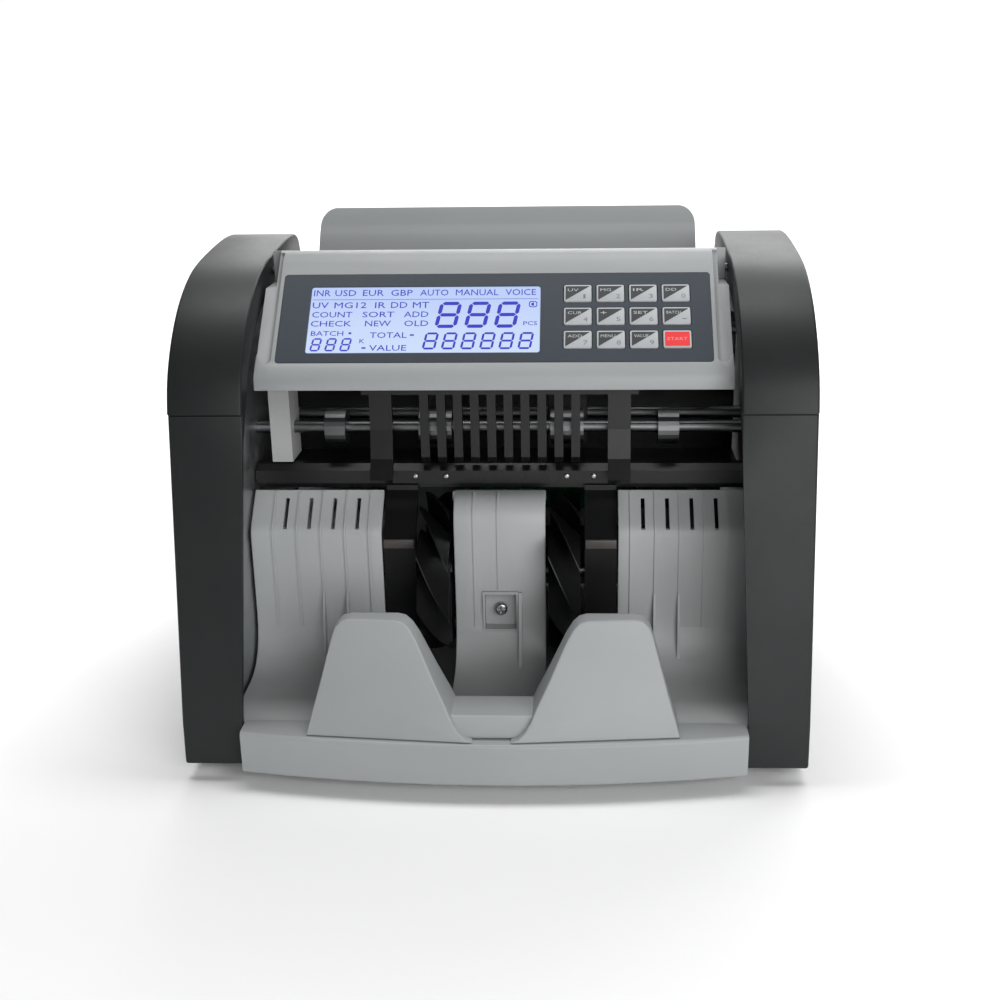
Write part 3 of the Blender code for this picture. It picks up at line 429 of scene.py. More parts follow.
def moved_across(piece, name, across):
    """The same piece further along X, by a distance in millimetres."""
    twin = copy_of(piece, name)
    twin.location.x = across * MM
    only(twin)
    bpy.ops.object.transform_apply(location=True)
    return twin


def join_pieces(pieces, name):
    """Put several pieces into one object."""
    deselect()
    for piece in pieces:
        piece.select_set(True)
    bpy.context.view_layer.objects.active = pieces[0]
    bpy.ops.object.join()
    pieces[0].name = name
    return pieces[0]


def arc(centre, radius, start, end, steps):
    """Points (a, b) along a round stretch, angles in degrees."""
    points = []
    for step in range(steps + 1):
        angle = math.radians(start + (end - start) * step / steps)
        points.append((centre[0] + radius * math.cos(angle), centre[1] + radius * math.sin(angle)))
    return points


def curve_through(points, steps):
    """Smooth curve through side-view points, each stretch between two of them in a few steps."""
    ends = [points[0]] + list(points) + [points[-1]]
    result = []
    for k in range(len(points) - 1):
        p0, p1, p2, p3 = (Vector(ends[k + n]) for n in range(4))
        for step in range(steps):
            t = step / steps
            square = 2.0 * p0 - 5.0 * p1 + 4.0 * p2 - p3
            cube = 3.0 * p1 - p0 - 3.0 * p2 + p3
            result.append(tuple(0.5 * (2.0 * p1 + (p2 - p0) * t + square * t * t + cube * t ** 3)))
    result.append(tuple(points[-1]))
    return result


# ---- side covers -----------------------------------------------------------------------------------
COVER_IN = 107.0
COVER_OUT = 139.8
COVER_WALL = 3.0
CAP_TOP = [(-82.0, 163.4), (-77.5, 177.4), (-68.0, 191.5), (-53.0, 205.2), (-34.0, 215.2),
           (-13.0, 220.6), (24.0, 225.0), (43.0, 225.6), (51.0, 224.6), (56.0, 221.4), (58.6, 215.8),
           (61.0, 211.2), (67.0, 208.6), (92.0, 204.6), (106.0, 200.4), (115.0, 193.6), (120.4, 172.0)]
COVER_HOLLOW = [(-101.4, 3.0), (-100.0, 27.0), (-78.0, 165.0), (-74.0, 178.0), (-64.5, 192.0),
                (-50.5, 203.0), (-32.5, 212.2), (-12.0, 217.6), (24.0, 222.0), (43.0, 222.6),
                (50.0, 221.4), (53.6, 218.6), (55.6, 214.4), (58.0, 209.0), (66.0, 205.6),
                (91.0, 201.6), (104.0, 197.6), (112.4, 191.6), (117.4, 171.0), (117.8, 3.0)]
COVER_MOUTH = [(-101.4, 3.0), (-100.0, 27.0), (-80.4, 150.0), (-70.0, 172.0), (-56.0, 188.0),
               (-38.0, 199.5), (-20.0, 205.5), (0.0, 208.5), (24.0, 210.0), (42.0, 210.4),
               (44.5, 206.0), (46.0, 198.0), (100.0, 193.0), (117.8, 180.0), (117.8, 3.0)]
SKIRT = 1.6
ROD_PLACE = (-4.0, 214.5)
ROD_HOLE = 2.3


def bevel_edges(piece, test, width, segments, clamp=False):
    """Bevel only the edges whose two ends (in millimetres) pass the test."""
    only(piece)
    bpy.ops.object.mode_set(mode="EDIT")
    bpy.ops.mesh.select_mode(type="EDGE")
    bpy.ops.mesh.select_all(action="DESELECT")
    mesh = bmesh.from_edit_mesh(piece.data)
    for edge in mesh.edges:
        if test(edge.verts[0].co / MM, edge.verts[1].co / MM):
            edge.select_set(True)
    mesh.select_flush(True)
    bmesh.update_edit_mesh(piece.data)
    bpy.ops.mesh.bevel(offset=width * MM, segments=segments, affect="EDGES", clamp_overlap=clamp)
    bpy.ops.object.mode_set(mode="OBJECT")


def side_covers():
    """Dark covers: a crowned cap over a plainer front face, with a drawn-in skirt at the foot."""
    side_view = [(-104.4, 7.2), (-103.2, 27.0), (-80.8, 162.4)] + curve_through(CAP_TOP, 4)
    side_view += [(120.8, 30.0), (119.4, 7.2)]
    cover = side_solid("cover_right", side_view, COVER_IN, COVER_OUT)
    bevel_edges(cover, lambda a, b: min(a.x, b.x) > COVER_OUT - 0.1, 4.2, 5, clamp=True)
    bevel_edges(cover, lambda a, b: max(a.x, b.x) < COVER_IN + 0.1 and max(a.z, b.z) > 160.0,
                1.3, 3, clamp=True)
    mouth = side_solid("tool", COVER_MOUTH, COVER_IN - 5.0, COVER_IN + SKIRT + 0.5)
    rod = side_solid("tool", arc(ROD_PLACE, ROD_HOLE, 0.0, 345.0, 23), COVER_IN - 5.0, COVER_IN + 5.0)
    corner = [(COVER_IN - 7.0, 0.0), (112.6, 0.0), (112.6, 30.0), (COVER_IN, 166.0),
              (COVER_IN - 7.0, 166.0)]
    seam = [(-84.0, 162.4), (-79.9, 162.4), (-79.9, 163.2), (-84.0, 163.2)]
    cut(cover, side_solid("tool", COVER_HOLLOW, COVER_IN + SKIRT, COVER_OUT - COVER_WALL), mouth, rod,
        front_solid("tool", corner, -115.0, -70.0),
        side_solid("tool", seam, COVER_IN - 5.0, COVER_OUT + 5.0))
    left = mirrored(cover, "cover_left")
    finish_piece(cover, "chassis", "dark_plastic", ["side_cover_right"], angle=28.0)
    finish_piece(left, "chassis", "dark_plastic", ["side_cover_left"], angle=28.0)


# ---- stop plate ------------------------------------------------------------------------------------
HORN = [(82.0, 26.4), (75.8, 48.0), (70.4, 68.0), (68.8, 72.4), (65.8, 75.4), (62.0, 76.2), (41.6, 76.2),
        (38.2, 75.3), (35.4, 72.6), (32.4, 67.6), (25.0, 51.4), (19.8, 41.0), (17.0, 34.6), (14.6, 30.6),
        (11.6, 27.8), (8.0, 26.4)]
HORN_FRONT = -119.0
HORN_BACK = -92.0
HORN_INNER = 13.0
HORN_FOOT = 26.4
HORN_BOW = 0.085
HORN_LEAN = 0.30
HORN_DEEP = 40.0


def horn_face(x, z):
    """Front of a horn: it follows the bowed apron at its foot and leans back toward its top."""
    return HORN_FRONT + (abs(x) - HORN_INNER) * HORN_BOW + (z - HORN_FOOT) * HORN_LEAN


def stop_plate():
    """Thick saddle: two soft-edged horns standing proud of a low bridge, hollowed from behind."""
    low = [(-115.6, HORN_FOOT), (-113.0, 36.2), (HORN_BACK, 36.2), (HORN_BACK, HORN_FOOT)]
    bridge = side_solid("stop_plate_moulding", low, -28.0, 28.0)
    round_edges(bridge, 1.8, 4, 40.0)
    hollow = [(66.0, 20.0), (62.0, 50.0), (60.0, 66.0), (45.0, 66.0), (40.0, 58.0), (30.0, 40.0),
              (26.0, 20.0)]
    for side in (-1.0, 1.0):
        face = outline("horn", [(side * x, horn_face(x, z), z) for x, z in HORN])
        horn = pull(face, (0.0, HORN_DEEP, 0.0))
        cut(horn, box_solid("tool", (-90.0, HORN_BACK, 10.0), (90.0, -40.0, 90.0)))
        round_edges(horn, 2.5, 5, 40.0)
        weld_on(bridge, horn)
    for side in (-1.0, 1.0):
        cut(bridge, front_solid("tool", [(side * x, z) for x, z in hollow], -98.2, -85.0))
    finish_piece(bridge, "chassis", "light_plastic", ["stop_plate"], angle=40.0)


# ---- base tray -------------------------------------------------------------------------------------
APRON_HALF = 112.1
APRON_ENDS = -110.4
APRON_BOW = 10.4
APRON_REAR = -98.6
APRON_FOOT = 6.2
APRON_TALL = 19.8
APRON_STEPS = 16
FLOOR_SLOTS = (-84.0, -72.0, -60.0, -48.0)


def base_tray():
    """Bowed apron with a rounded top edge, on a thin floor with four slots."""
    bow = []
    for step in range(2 * APRON_STEPS + 1):
        x = APRON_HALF * (step / APRON_STEPS - 1.0)
        bow.append((x, APRON_ENDS - APRON_BOW * (1.0 - (x / APRON_HALF) ** 2), APRON_FOOT))
    plan = bow + [(APRON_HALF, APRON_REAR, APRON_FOOT), (-APRON_HALF, APRON_REAR, APRON_FOOT)]
    tray = pull(outline("base_moulding", plan), (0.0, 0.0, APRON_TALL))
    bevel_edges(tray, lambda a, b: min(a.z, b.z) > 25.0 and max(a.y, b.y) < -109.0, 1.8, 4)
    bevel_edges(tray, lambda a, b: max(a.z, b.z) < 7.0 and max(a.y, b.y) < -109.0, 1.2, 3)
    weld_on(tray, box_solid("tool", (-117.4, -100.2, APRON_FOOT), (117.4, 116.8, 8.5)))
    cut(tray, box_solid("tool", (-100.0, -107.6, 3.0), (100.0, -101.4, 22.6)),
        *[box_solid("tool", (x - 2.0, 20.0, 3.0), (x + 2.0, 60.0, 12.0)) for x in FLOOR_SLOTS])
    finish_piece(tray, "chassis", "light_plastic", ["base_tray"])


# ---- control panel ---------------------------------------------------------------------------------
SLOPE = math.sqrt(0.5)
PANEL_FOOT = (-58.0, 181.0)
SCREEN_X = -31.7
SCREEN_V = 23.1
SCREEN_FACE = -0.5
KEY_SIZE = (12.6, 9.2)
KEY_FIRST = (37.3, 36.5)
KEY_STEP = (14.67, 12.45)
KEY_FACE = 0.45
KEY_DEPTH = -2.6
KEY_RIM = 0.85
PRINT = 0.05
KEYS = ("1", "2", "3", "0", "4", "5", "6", "batch", "7", "8", "9", "start")
KEY_WORDS = ("UV", "MG", "IR", "DD", "CUR", "+", "SET", "BATCH", "ADD", "MENU", "VALUE", "START")


def on_panel(x, v, out=0.0):
    """Place on the sloping panel: across, up the slope and out of its face."""
    return (x, PANEL_FOOT[0] + (v - out) * SLOPE, PANEL_FOOT[1] + (v + out) * SLOPE)


def panel_solid(name, corners, low, high):
    """Plate lying on the panel, from one height above its face to another."""
    piece = outline(name, [on_panel(x, v, low) for x, v in corners])
    lift = (high - low) * SLOPE
    return pull(piece, (0.0, -lift, lift))


def height_above_panel(point):
    """How far a point (in millimetres) stands out of the panel's face."""
    return ((point.z - PANEL_FOOT[1]) - (point.y - PANEL_FOOT[0])) * SLOPE


def soft_rectangle(x, v, half_x, half_v, radius):
    """Rectangle with round corners, about its centre."""
    corners = []
    for sign_x, sign_v, start in ((1, 1, 0.0), (-1, 1, 90.0), (-1, -1, 180.0), (1, -1, 270.0)):
        centre = (x + sign_x * (half_x - radius), v + sign_v * (half_v - radius))
        corners += arc(centre, radius, start, start + 90.0, 4)
    return corners


def key_places():
    """Each key's name and the place of its middle, row by row from the top left."""
    for number, name in enumerate(KEYS):
        yield name, KEY_FIRST[0] + number % 4 * KEY_STEP[0], KEY_FIRST[1] - number // 4 * KEY_STEP[1]


def panel_housing():
    """Bezel shell: a raised field around the film, scooped down on both sides, over an upright lip."""
    nose = curve_through([(-19.2, 219.8), (-14.5, 223.0), (-8.5, 224.0), (-3.5, 221.6), (-0.6, 217.0)], 4)
    side_view = [(-63.4, 169.6), (-63.4, 174.4), (-62.6, 176.4)] + nose
    side_view += [(-0.6, 211.0), (-6.0, 208.0), (-16.0, 207.0), (-54.5, 169.6)]
    shell = side_solid("panel_housing_moulding", side_view, -105.6, 105.6)
    for side in (-1.0, 1.0):
        scoop = [(109.0, 62.0), (98.9, 62.0), (98.9, 2.0)] + arc((101.4, 2.0), 2.5, 180.0, 270.0, 4)
        scoop += [(103.0, 0.6), (105.0, 4.0), (109.0, 6.0)]
        depth = [-3.4 + (x - 98.9) * 0.34 for x, _ in scoop]
        tool = outline("tool", [on_panel(side * x, v, out) for (x, v), out in zip(scoop, depth)])
        cut(shell, pull(tool, (0.0, -6.0, 6.0)))
        cut(shell, side_solid("tool", [(-34.0, 209.5), (-8.8, 209.5), (-8.8, 228.0), (-34.0, 228.0)],
                              side * 101.2, side * 109.0))
    round_edges(shell, 0.75, 3, 30.0)
    cavity = [(-60.4, 160.0), (-60.4, 173.4), (-57.0, 177.8), (-18.4, 216.0), (-14.0, 219.4),
              (-10.6, 220.0), (-9.6, 218.6), (-9.6, 200.0), (-50.0, 160.0)]
    cut(shell, side_solid("tool", cavity, -97.0, 97.0),
        panel_solid("tool", soft_rectangle(0.0, 23.9, 97.05, 24.15, 1.7), -1.15, 4.0),
        panel_solid("tool", soft_rectangle(SCREEN_X, SCREEN_V, 52.6, 18.3, 1.2), -9.0, 3.0),
        panel_solid("tool", soft_rectangle(59.3, 24.0, 29.4, 18.0, 1.2), -9.0, 3.0))
    finish_piece(shell, "front_panel", "light_plastic", ["control_panel_housing"], angle=30.0)


def panel_film():
    """Slate film with windows for the screen and the twelve keys."""
    film = panel_solid("panel_film", soft_rectangle(0.0, 23.9, 96.75, 23.85, 1.4), -0.8, 0.0)
    cut(film, panel_solid("tool", soft_rectangle(SCREEN_X, SCREEN_V, 52.3, 18.05, 1.3), -3.0, 3.0))
    for _, x, v in key_places():
        cut(film, panel_solid("tool", soft_rectangle(x, v, 6.6, 4.9, 1.1), -3.0, 3.0))
    finish_piece(film, "front_panel", "overlay_film", ["panel_overlay"])
    screen = panel_solid("screen_glass", soft_rectangle(SCREEN_X, SCREEN_V, 52.1, 17.85, 1.1), -3.2,
                         SCREEN_FACE)
    finish_piece(screen, "front_panel", "display_glass", ["lcd_window"])


def words(name, text, x, v, tall, wide, out):
    """Raised word: its left end and foot on the panel, letter height and whole width given."""
    deselect()
    bpy.ops.object.text_add(location=(0.0, 0.0, 0.0))
    piece = bpy.context.object
    piece.name = name
    piece.data.body = text
    piece.data.extrude = 0.01
    piece.data.resolution_u = 2
    bpy.ops.object.convert(target="MESH")
    piece = bpy.context.object
    low = [min(vert.co[k] for vert in piece.data.vertices) for k in range(3)]
    high = [max(vert.co[k] for vert in piece.data.vertices) for k in range(3)]
    fit = (wide / (high[0] - low[0]), tall / (high[1] - low[1]), PRINT / (high[2] - low[2]))
    for vert in piece.data.vertices:
        spot = [(vert.co[k] - low[k]) * fit[k] for k in range(3)]
        vert.co = Vector(on_panel(x + spot[0], v + spot[1], out + spot[2])) * MM
    return piece


def digit(name, x, v, wide, tall, bar, lean, out):
    """Seven-segment eight, leaning to the right."""
    half = bar / 2.0
    gap = bar * 0.14
    middle = tall / 2.0
    flat = [(gap, 0.0), (gap + half, half), (wide - gap - half, half), (wide - gap, 0.0),
            (wide - gap - half, -half), (gap + half, -half)]
    upright = [(0.0, gap), (half, gap + half), (half, middle - gap - half), (0.0, middle - gap),
               (-half, middle - gap - half), (-half, gap + half)]
    bars = [(flat, 0.0, 0.0), (flat, 0.0, middle), (flat, 0.0, tall)]
    bars += [(upright, shift_x, shift_v) for shift_x in (0.0, wide) for shift_v in (0.0, middle)]
    pieces = []
    for shape, shift_x, shift_v in bars:
        corners = [(x + px + shift_x + (pv + shift_v) * lean, v + pv + shift_v) for px, pv in shape]
        pieces.append(panel_solid(name, corners, out, out + PRINT))
    return join_pieces(pieces, name)


# Word, left end, foot, letter height and whole width.
SCREEN_WORDS = (
    ("INR", -82.8, 36.2, 3.3, 7.6), ("USD", -73.1, 36.2, 3.3, 9.6), ("EUR", -60.4, 36.2, 3.3, 9.6),
    ("GBP", -47.5, 36.2, 3.3, 9.8), ("AUTO", -34.2, 36.2, 3.3, 12.8), ("MANUAL", -18.0, 36.2, 3.3, 19.4),
    ("VOICE", 4.6, 36.2, 3.3, 13.8),
    ("UV", -82.8, 29.5, 3.2, 7.2), ("MG12", -72.9, 29.5, 3.2, 14.6), ("IR", -54.4, 29.5, 3.2, 4.8),
    ("DD", -47.1, 29.5, 3.2, 7.4), ("MT", -37.2, 29.5, 3.2, 7.4),
    ("COUNT", -82.6, 24.5, 3.0, 18.2), ("SORT", -59.7, 24.5, 3.0, 14.4), ("ADD", -40.9, 24.5, 3.0, 11.0),
    ("CHECK", -82.8, 19.6, 3.0, 18.4), ("NEW", -58.2, 19.6, 3.0, 11.6), ("OLD", -40.5, 19.6, 3.0, 10.8),
    ("BATCH", -82.2, 14.6, 2.5, 14.6), ("K", -60.0, 10.6, 2.2, 2.2), ("TOTAL", -55.6, 13.3, 3.0, 16.6),
    ("VALUE", -55.4, 6.5, 3.0, 16.6), ("PCS", 13.0, 19.8, 2.1, 6.2),
)
# Left, right, lower and upper edge of a line or colon dot.
SCREEN_MARKS = ((-83.0, 19.6, 34.1, 34.3), (-65.2, -64.0, 15.4, 16.4), (-37.6, -35.8, 14.4, 15.2),
                (-58.8, -57.0, 7.6, 8.4))
# Name, left end, foot, width, height, bar, spacing and how many.
DIGIT_ROWS = (("count_digit", -26.0, 19.4, 8.2, 12.4, 1.75, 13.3, 3),
              ("batch_digit", -81.8, 6.7, 3.6, 6.2, 0.8, 6.7, 3),
              ("total_digit", -31.4, 7.6, 5.0, 8.0, 1.0, 8.5, 6))
DIGIT_LEAN = 0.17
SPEAKER = (17.2, 31.2)


def screen_print():
    """Segments and captions shown on the display."""
    out = SCREEN_FACE + 0.02
    ink = screen_ink("segment_ink")
    pieces = [words("caption", text, x, v, tall, wide, out) for text, x, v, tall, wide in SCREEN_WORDS]
    for x0, x1, v0, v1 in SCREEN_MARKS:
        pieces.append(panel_solid("mark", [(x0, v0), (x1, v0), (x1, v1), (x0, v1)], out, out + PRINT))
    x, v = SPEAKER
    badge = panel_solid("mark", soft_rectangle(x, v, 1.9, 1.7, 1.2), out, out + PRINT)
    cut(badge, panel_solid("tool", soft_rectangle(x, v, 1.5, 1.3, 1.0), out - 0.1, out + 0.2))
    cone = [(x - 0.8, v - 0.5), (x + 0.4, v - 1.0), (x + 0.4, v + 1.0), (x - 0.8, v + 0.5)]
    pieces += [badge, panel_solid("mark", cone, out, out + PRINT)]
    captions = join_pieces(pieces, "screen_captions")
    finish_piece(captions, "front_panel", "display_glass", finish=ink)
    for name, x, v, wide, tall, bar, step, count in DIGIT_ROWS:
        first = digit(name + "_1", x, v, wide, tall, bar, DIGIT_LEAN, out)
        row = [first] + [moved_across(first, f"{name}_{n + 1}", step * n) for n in range(1, count)]
        for piece in row:
            finish_piece(piece, "front_panel", "display_glass", finish=ink)


def keypad():
    """Twelve film keys: pale rim, dark upper corner with a word, pale lower corner with a figure."""
    dark = moulded_plastic("key_shadow", (0.030, 0.033, 0.037), 0.40, 0.00002, 0.4, 0.05)
    pale = moulded_plastic("key_rim", (0.37, 0.385, 0.40), 0.38, 0.00002, 0.4, 0.05)
    ink = moulded_plastic("key_ink", (0.16, 0.165, 0.17), 0.45, 0.00002, 0.3, 0.05)
    white = moulded_plastic("key_white_ink", (0.42, 0.43, 0.44), 0.45, 0.00002, 0.3, 0.05)
    red_ink = moulded_plastic("start_ink", (0.75, 0.25, 0.25), 0.45)
    half_x, half_v = KEY_SIZE[0] / 2.0, KEY_SIZE[1] / 2.0
    for (name, x, v), word in zip(key_places(), KEY_WORDS):
        body = f"key_{name}_cap"
        cap = panel_solid(f"key_{name}_moulding", soft_rectangle(x, v, half_x - 0.05, half_v - 0.05, 0.9),
                          KEY_DEPTH, KEY_FACE)
        bevel_edges(cap, lambda a, b: min(height_above_panel(a), height_above_panel(b)) > KEY_FACE - 0.05,
                    0.28, 3)
        red = name == "start"
        finish_piece(cap, body, "red_key_film" if red else "key_film", ["key_" + name], finish=pale)
        low, high = KEY_FACE - 0.02, KEY_FACE + PRINT
        in_x, in_v = half_x - KEY_RIM, half_v - KEY_RIM
        wide = min(9.0, 2.1 * len(word) + 0.6)
        if red:
            face = panel_solid("key_start_face", soft_rectangle(x, v, in_x, in_v, 0.5), low, high)
            finish_piece(face, body, "red_key_film")
            label = words("key_start_word", word, x - wide / 2.0, v - 0.8, 1.6, wide, high - 0.01)
            finish_piece(label, body, "key_film", finish=red_ink)
            continue
        shade = panel_solid(f"key_{name}_corner", [(x - in_x, v - in_v), (x + in_x, v + in_v),
                                                   (x - in_x, v + in_v)], low, high)
        finish_piece(shade, body, "key_film", finish=dark)
        label = words(f"key_{name}_word", word, x - in_x + 1.0, v + 0.9, 1.5, min(wide, 6.4),
                      high - 0.01)
        finish_piece(label, body, "key_film", finish=white)
        figure, foot, tall = ("-", v - 2.0, 0.5) if name == "batch" else (name, v - 3.0, 2.3)
        mark = words(f"key_{name}_figure", figure, x + 2.5, foot, tall, 1.0 if name == "1" else 1.9, low)
        finish_piece(mark, body, "key_film", finish=ink)


# ---- stacker ---------------------------------------------------------------------------------------
BACK_FACE = [(-98.4, 25.2), (-76.0, 25.6), (-60.0, 26.4), (-53.0, 27.6), (-47.6, 30.2), (-43.4, 34.2),
             (-40.4, 39.6), (-38.6, 46.0), (-38.0, 53.0)]
BACK_IN = 56.5
BACK_OUT = 119.6
RIB_FIRST = 62.5
RIB_STEP = 11.6
RIB_FROM = 7
SHEET = 2.2
WHEEL_X = 31.0
WHEEL_AXLE = (-19.0, 68.0)
WHEEL_BORE = 3.3
WHEEL_HUB = 13.0
WHEEL_RIM = 38.8
WHEEL_HALF = 7.5
WHEEL_TWIST = 50.0
WHEEL_SWEEP = 70.0
BLADES = 9
BLADE_STEPS = 8


def offset_line(points, distance):
    """The same side view moved square to itself."""
    moved = []
    for k, point in enumerate(points):
        before = Vector(points[max(k - 1, 0)])
        after = Vector(points[min(k + 1, len(points) - 1)])
        along = (after - before).normalized()
        moved.append((point[0] + along.y * distance, point[1] - along.x * distance))
    return moved


def back_panel(name, low_x, high_x, face):
    """Curved sheet-like panel with softened edges."""
    panel = side_solid(name, face + offset_line(face, SHEET)[::-1], low_x, high_x)
    return round_edges(panel, 0.6, 3, 40.0)


def side_backs():
    """Side panels: five fine upright ribs, two deeper fins and four slots along the slanting top."""
    fold = [(-38.0, 91.6), (-37.6, 93.8), (-36.6, 95.9), (-35.0, 97.9)]
    face = BACK_FACE + fold + [(-22.2, 110.8)]
    panel = back_panel("stacker_panel_right", BACK_IN, BACK_OUT, face)
    ridge = face[RIB_FROM:-1] + [(-23.0, 110.0)]
    rib_side = offset_line(ridge, -0.75) + offset_line(ridge, 0.8)[::-1]
    for k in range(5):
        middle = RIB_FIRST + RIB_STEP * k
        weld_on(panel, side_solid("tool", rib_side, middle - 0.5, middle + 0.5))
    for k in (1, 2):
        middle = RIB_FIRST + RIB_STEP * k
        fin = [(-45.6, 28.0), (-44.6, 40.0), (-42.4, 52.0), (-39.2, 63.4), (-37.2, 63.4), (-37.2, 34.0)]
        weld_on(panel, side_solid("tool", fin, middle - 0.55, middle + 0.55))
    for k in range(4):
        middle = RIB_FIRST + RIB_STEP * (k + 0.5)
        cut(panel, side_solid("tool", [(-46.0, 95.4), (-30.0, 95.4), (-16.0, 107.4), (-46.0, 107.4)],
                              middle - 0.95, middle + 0.95))
    left = mirrored(panel, "stacker_panel_left")
    # The side panels take the paler grey: painted light for the light falling into the pocket.
    finish_piece(panel, "chassis", "light_plastic", ["stacker_back_right"], POCKET_PAINTED_LIGHT_FINISH, 30.0)
    finish_piece(left, "chassis", "light_plastic", ["stacker_back_left"], POCKET_PAINTED_LIGHT_FINISH, 30.0)


def centre_back():
    """Centre panel with a rolled top lip, two fine ribs, a square screw recess and a fin beside it."""
    lip = [(-38.0, 97.0), (-37.6, 100.4), (-36.4, 103.8), (-34.0, 107.2), (-30.6, 109.6), (-27.0, 110.6),
           (-22.2, 110.8)]
    face = BACK_FACE + lip
    panel = back_panel("stacker_panel_centre", -21.9, 21.9, face)
    roll = side_solid("tool", arc((-24.4, 108.2), 2.7, 0.0, 330.0, 11), -23.1, 21.9)
    weld_on(panel, round_edges(roll, 0.8, 2, 50.0))
    ridge = face[RIB_FROM:-1]
    rib_side = offset_line(ridge, -0.6) + offset_line(ridge, 0.8)[::-1]
    for middle in (-12.4, -0.9):
        weld_on(panel, side_solid("tool", rib_side, middle - 0.4, middle + 0.4))
    weld_on(panel, box_solid("tool", (-8.6, -39.4, 43.6), (8.6, -29.0, 64.4)),
            side_solid("tool", [(-50.0, 28.0), (-44.0, 44.0), (-39.4, 64.0), (-37.0, 64.0), (-37.0, 40.0),
                                (-44.0, 32.0)], 8.8, 10.4))
    cut(panel, box_solid("tool", (-7.6, -60.0, 45.0), (7.6, -33.0, 63.0)))
    # The centre panel takes the paler grey: painted light for the light falling into the pocket.
    finish_piece(panel, "chassis", "light_plastic", ["stacker_back_centre"], POCKET_PAINTED_LIGHT_FINISH, 30.0)


def screw_blank(name, place, radius, depth, sides):
    """Short round bar facing forward, for a screw head."""
    deselect()
    bpy.ops.mesh.primitive_cylinder_add(vertices=sides, radius=radius * MM, depth=depth * MM,
                                        location=Vector(place) * MM,
                                        rotation=(math.radians(90.0), 0.0, 0.0))
    head = bpy.context.object
    head.name = name
    bpy.ops.object.transform_apply(location=True, rotation=True)
    return head


def screw_head():
    """Domed cross-head screw."""
    head = screw_blank("centre_screw_head", (0.0, -35.2, 54.0), 3.1, 3.2, 32)
    round_edges(head, 1.1, 4, 40.0)
    cut(head, box_solid("tool", (-0.5, -38.0, 52.0), (0.5, -35.6, 56.0)),
        box_solid("tool", (-2.0, -38.0, 53.5), (2.0, -35.6, 54.5)))
    finish_piece(head, "chassis", "bright_steel", ["centre_screw"], SCREW_FINISH)


def turn_on_axle(angle):
    """Turn what is selected in edit mode about the stacker axle."""
    bpy.ops.transform.rotate(value=angle, orient_axis="X",
                             center_override=(0.0, WHEEL_AXLE[0] * MM, WHEEL_AXLE[1] * MM))


def ring(radius, end, steps):
    """Round side view about the stacker axle."""
    return [(WHEEL_AXLE[0] + a, WHEEL_AXLE[1] + b) for a, b in arc((0.0, 0.0), radius, 0.0, end, steps)]


def blade(name, x0):
    """One swept blade, turned step by step as it is pulled across the wheel."""
    outer, inner = [], []
    for step in range(BLADE_STEPS + 1):
        share = step / BLADE_STEPS
        radius = WHEEL_HUB - 1.0 + (WHEEL_RIM - WHEEL_HUB + 1.0) * share
        turn = math.radians(WHEEL_SWEEP) * share ** 1.2
        half = (1.5 - 0.75 * share) / radius
        outer.append((radius * math.cos(turn + half), radius * math.sin(turn + half)))
        inner.append((radius * math.cos(turn - half), radius * math.sin(turn - half)))
    section = outer + inner[::-1]
    piece = outline(name, [(x0, WHEEL_AXLE[0] + a, WHEEL_AXLE[1] + b) for a, b in section])
    edit_all(piece)
    for _ in range(BLADE_STEPS):
        bpy.ops.mesh.extrude_region_move(
            TRANSFORM_OT_translate={"value": (2.0 * WHEEL_HALF / BLADE_STEPS * MM, 0.0, 0.0)})
        turn_on_axle(math.radians(-WHEEL_TWIST / BLADE_STEPS))
    close_outward()
    return piece


def stacking_wheel():
    """Black wheel: a hub with nine slanting blades."""
    x0 = -WHEEL_X - WHEEL_HALF
    x1 = x0 + 2.0 * WHEEL_HALF
    hub = side_solid("wheel_left", ring(WHEEL_HUB, 355.0, 47), x0, x1)
    cut(hub, side_solid("tool", ring(WHEEL_BORE, 345.0, 23), x0 - 2.0, x1 + 2.0))
    round_edges(hub, 0.6, 2, 50.0)
    first = blade("blade", x0)
    blades = [first]
    for number in range(1, BLADES):
        twin = copy_of(first, f"blade_{number}")
        edit_all(twin)
        turn_on_axle(2.0 * math.pi * number / BLADES)
        bpy.ops.object.mode_set(mode="OBJECT")
        blades.append(twin)
    wheel = join_pieces([hub] + blades, "wheel_left")
    right = moved_across(wheel, "wheel_right", 2.0 * WHEEL_X)
    finish_piece(wheel, "stacker_rotor", "black_plastic", ["stacker_wheel_left"], angle=40.0)
    finish_piece(right, "stacker_rotor", "black_plastic", ["stacker_wheel_right"], angle=40.0)


BAR_SCREWS = (-41.5, -26.5, 32.0, 45.0)


def bay_strips():
    """Smoky light strips across the bays beside the wheels, and small screws along the cross bar."""
    smoky = moulded_plastic("smoky_strip", (0.062, 0.056, 0.053), 0.38, 0.00002, 0.4, 0.08)
    strip = round_edges(box_solid("bay_strip_right", (40.8, -38.2, 86.0), (55.8, -36.2, 90.6)), 0.5, 3)
    left = mirrored(strip, "bay_strip_left")
    finish_piece(strip, "chassis", "black_plastic", finish=smoky)
    finish_piece(left, "chassis", "black_plastic", finish=smoky)
    for number, x in enumerate(BAR_SCREWS):
        head = screw_blank(f"bar_screw_{number + 1}", (x, -18.6, 116.4), 1.25, 1.4, 20)
        round_edges(head, 0.45, 3, 40.0)
        finish_piece(head, "chassis", "bright_steel", finish=SCREW_FINISH)


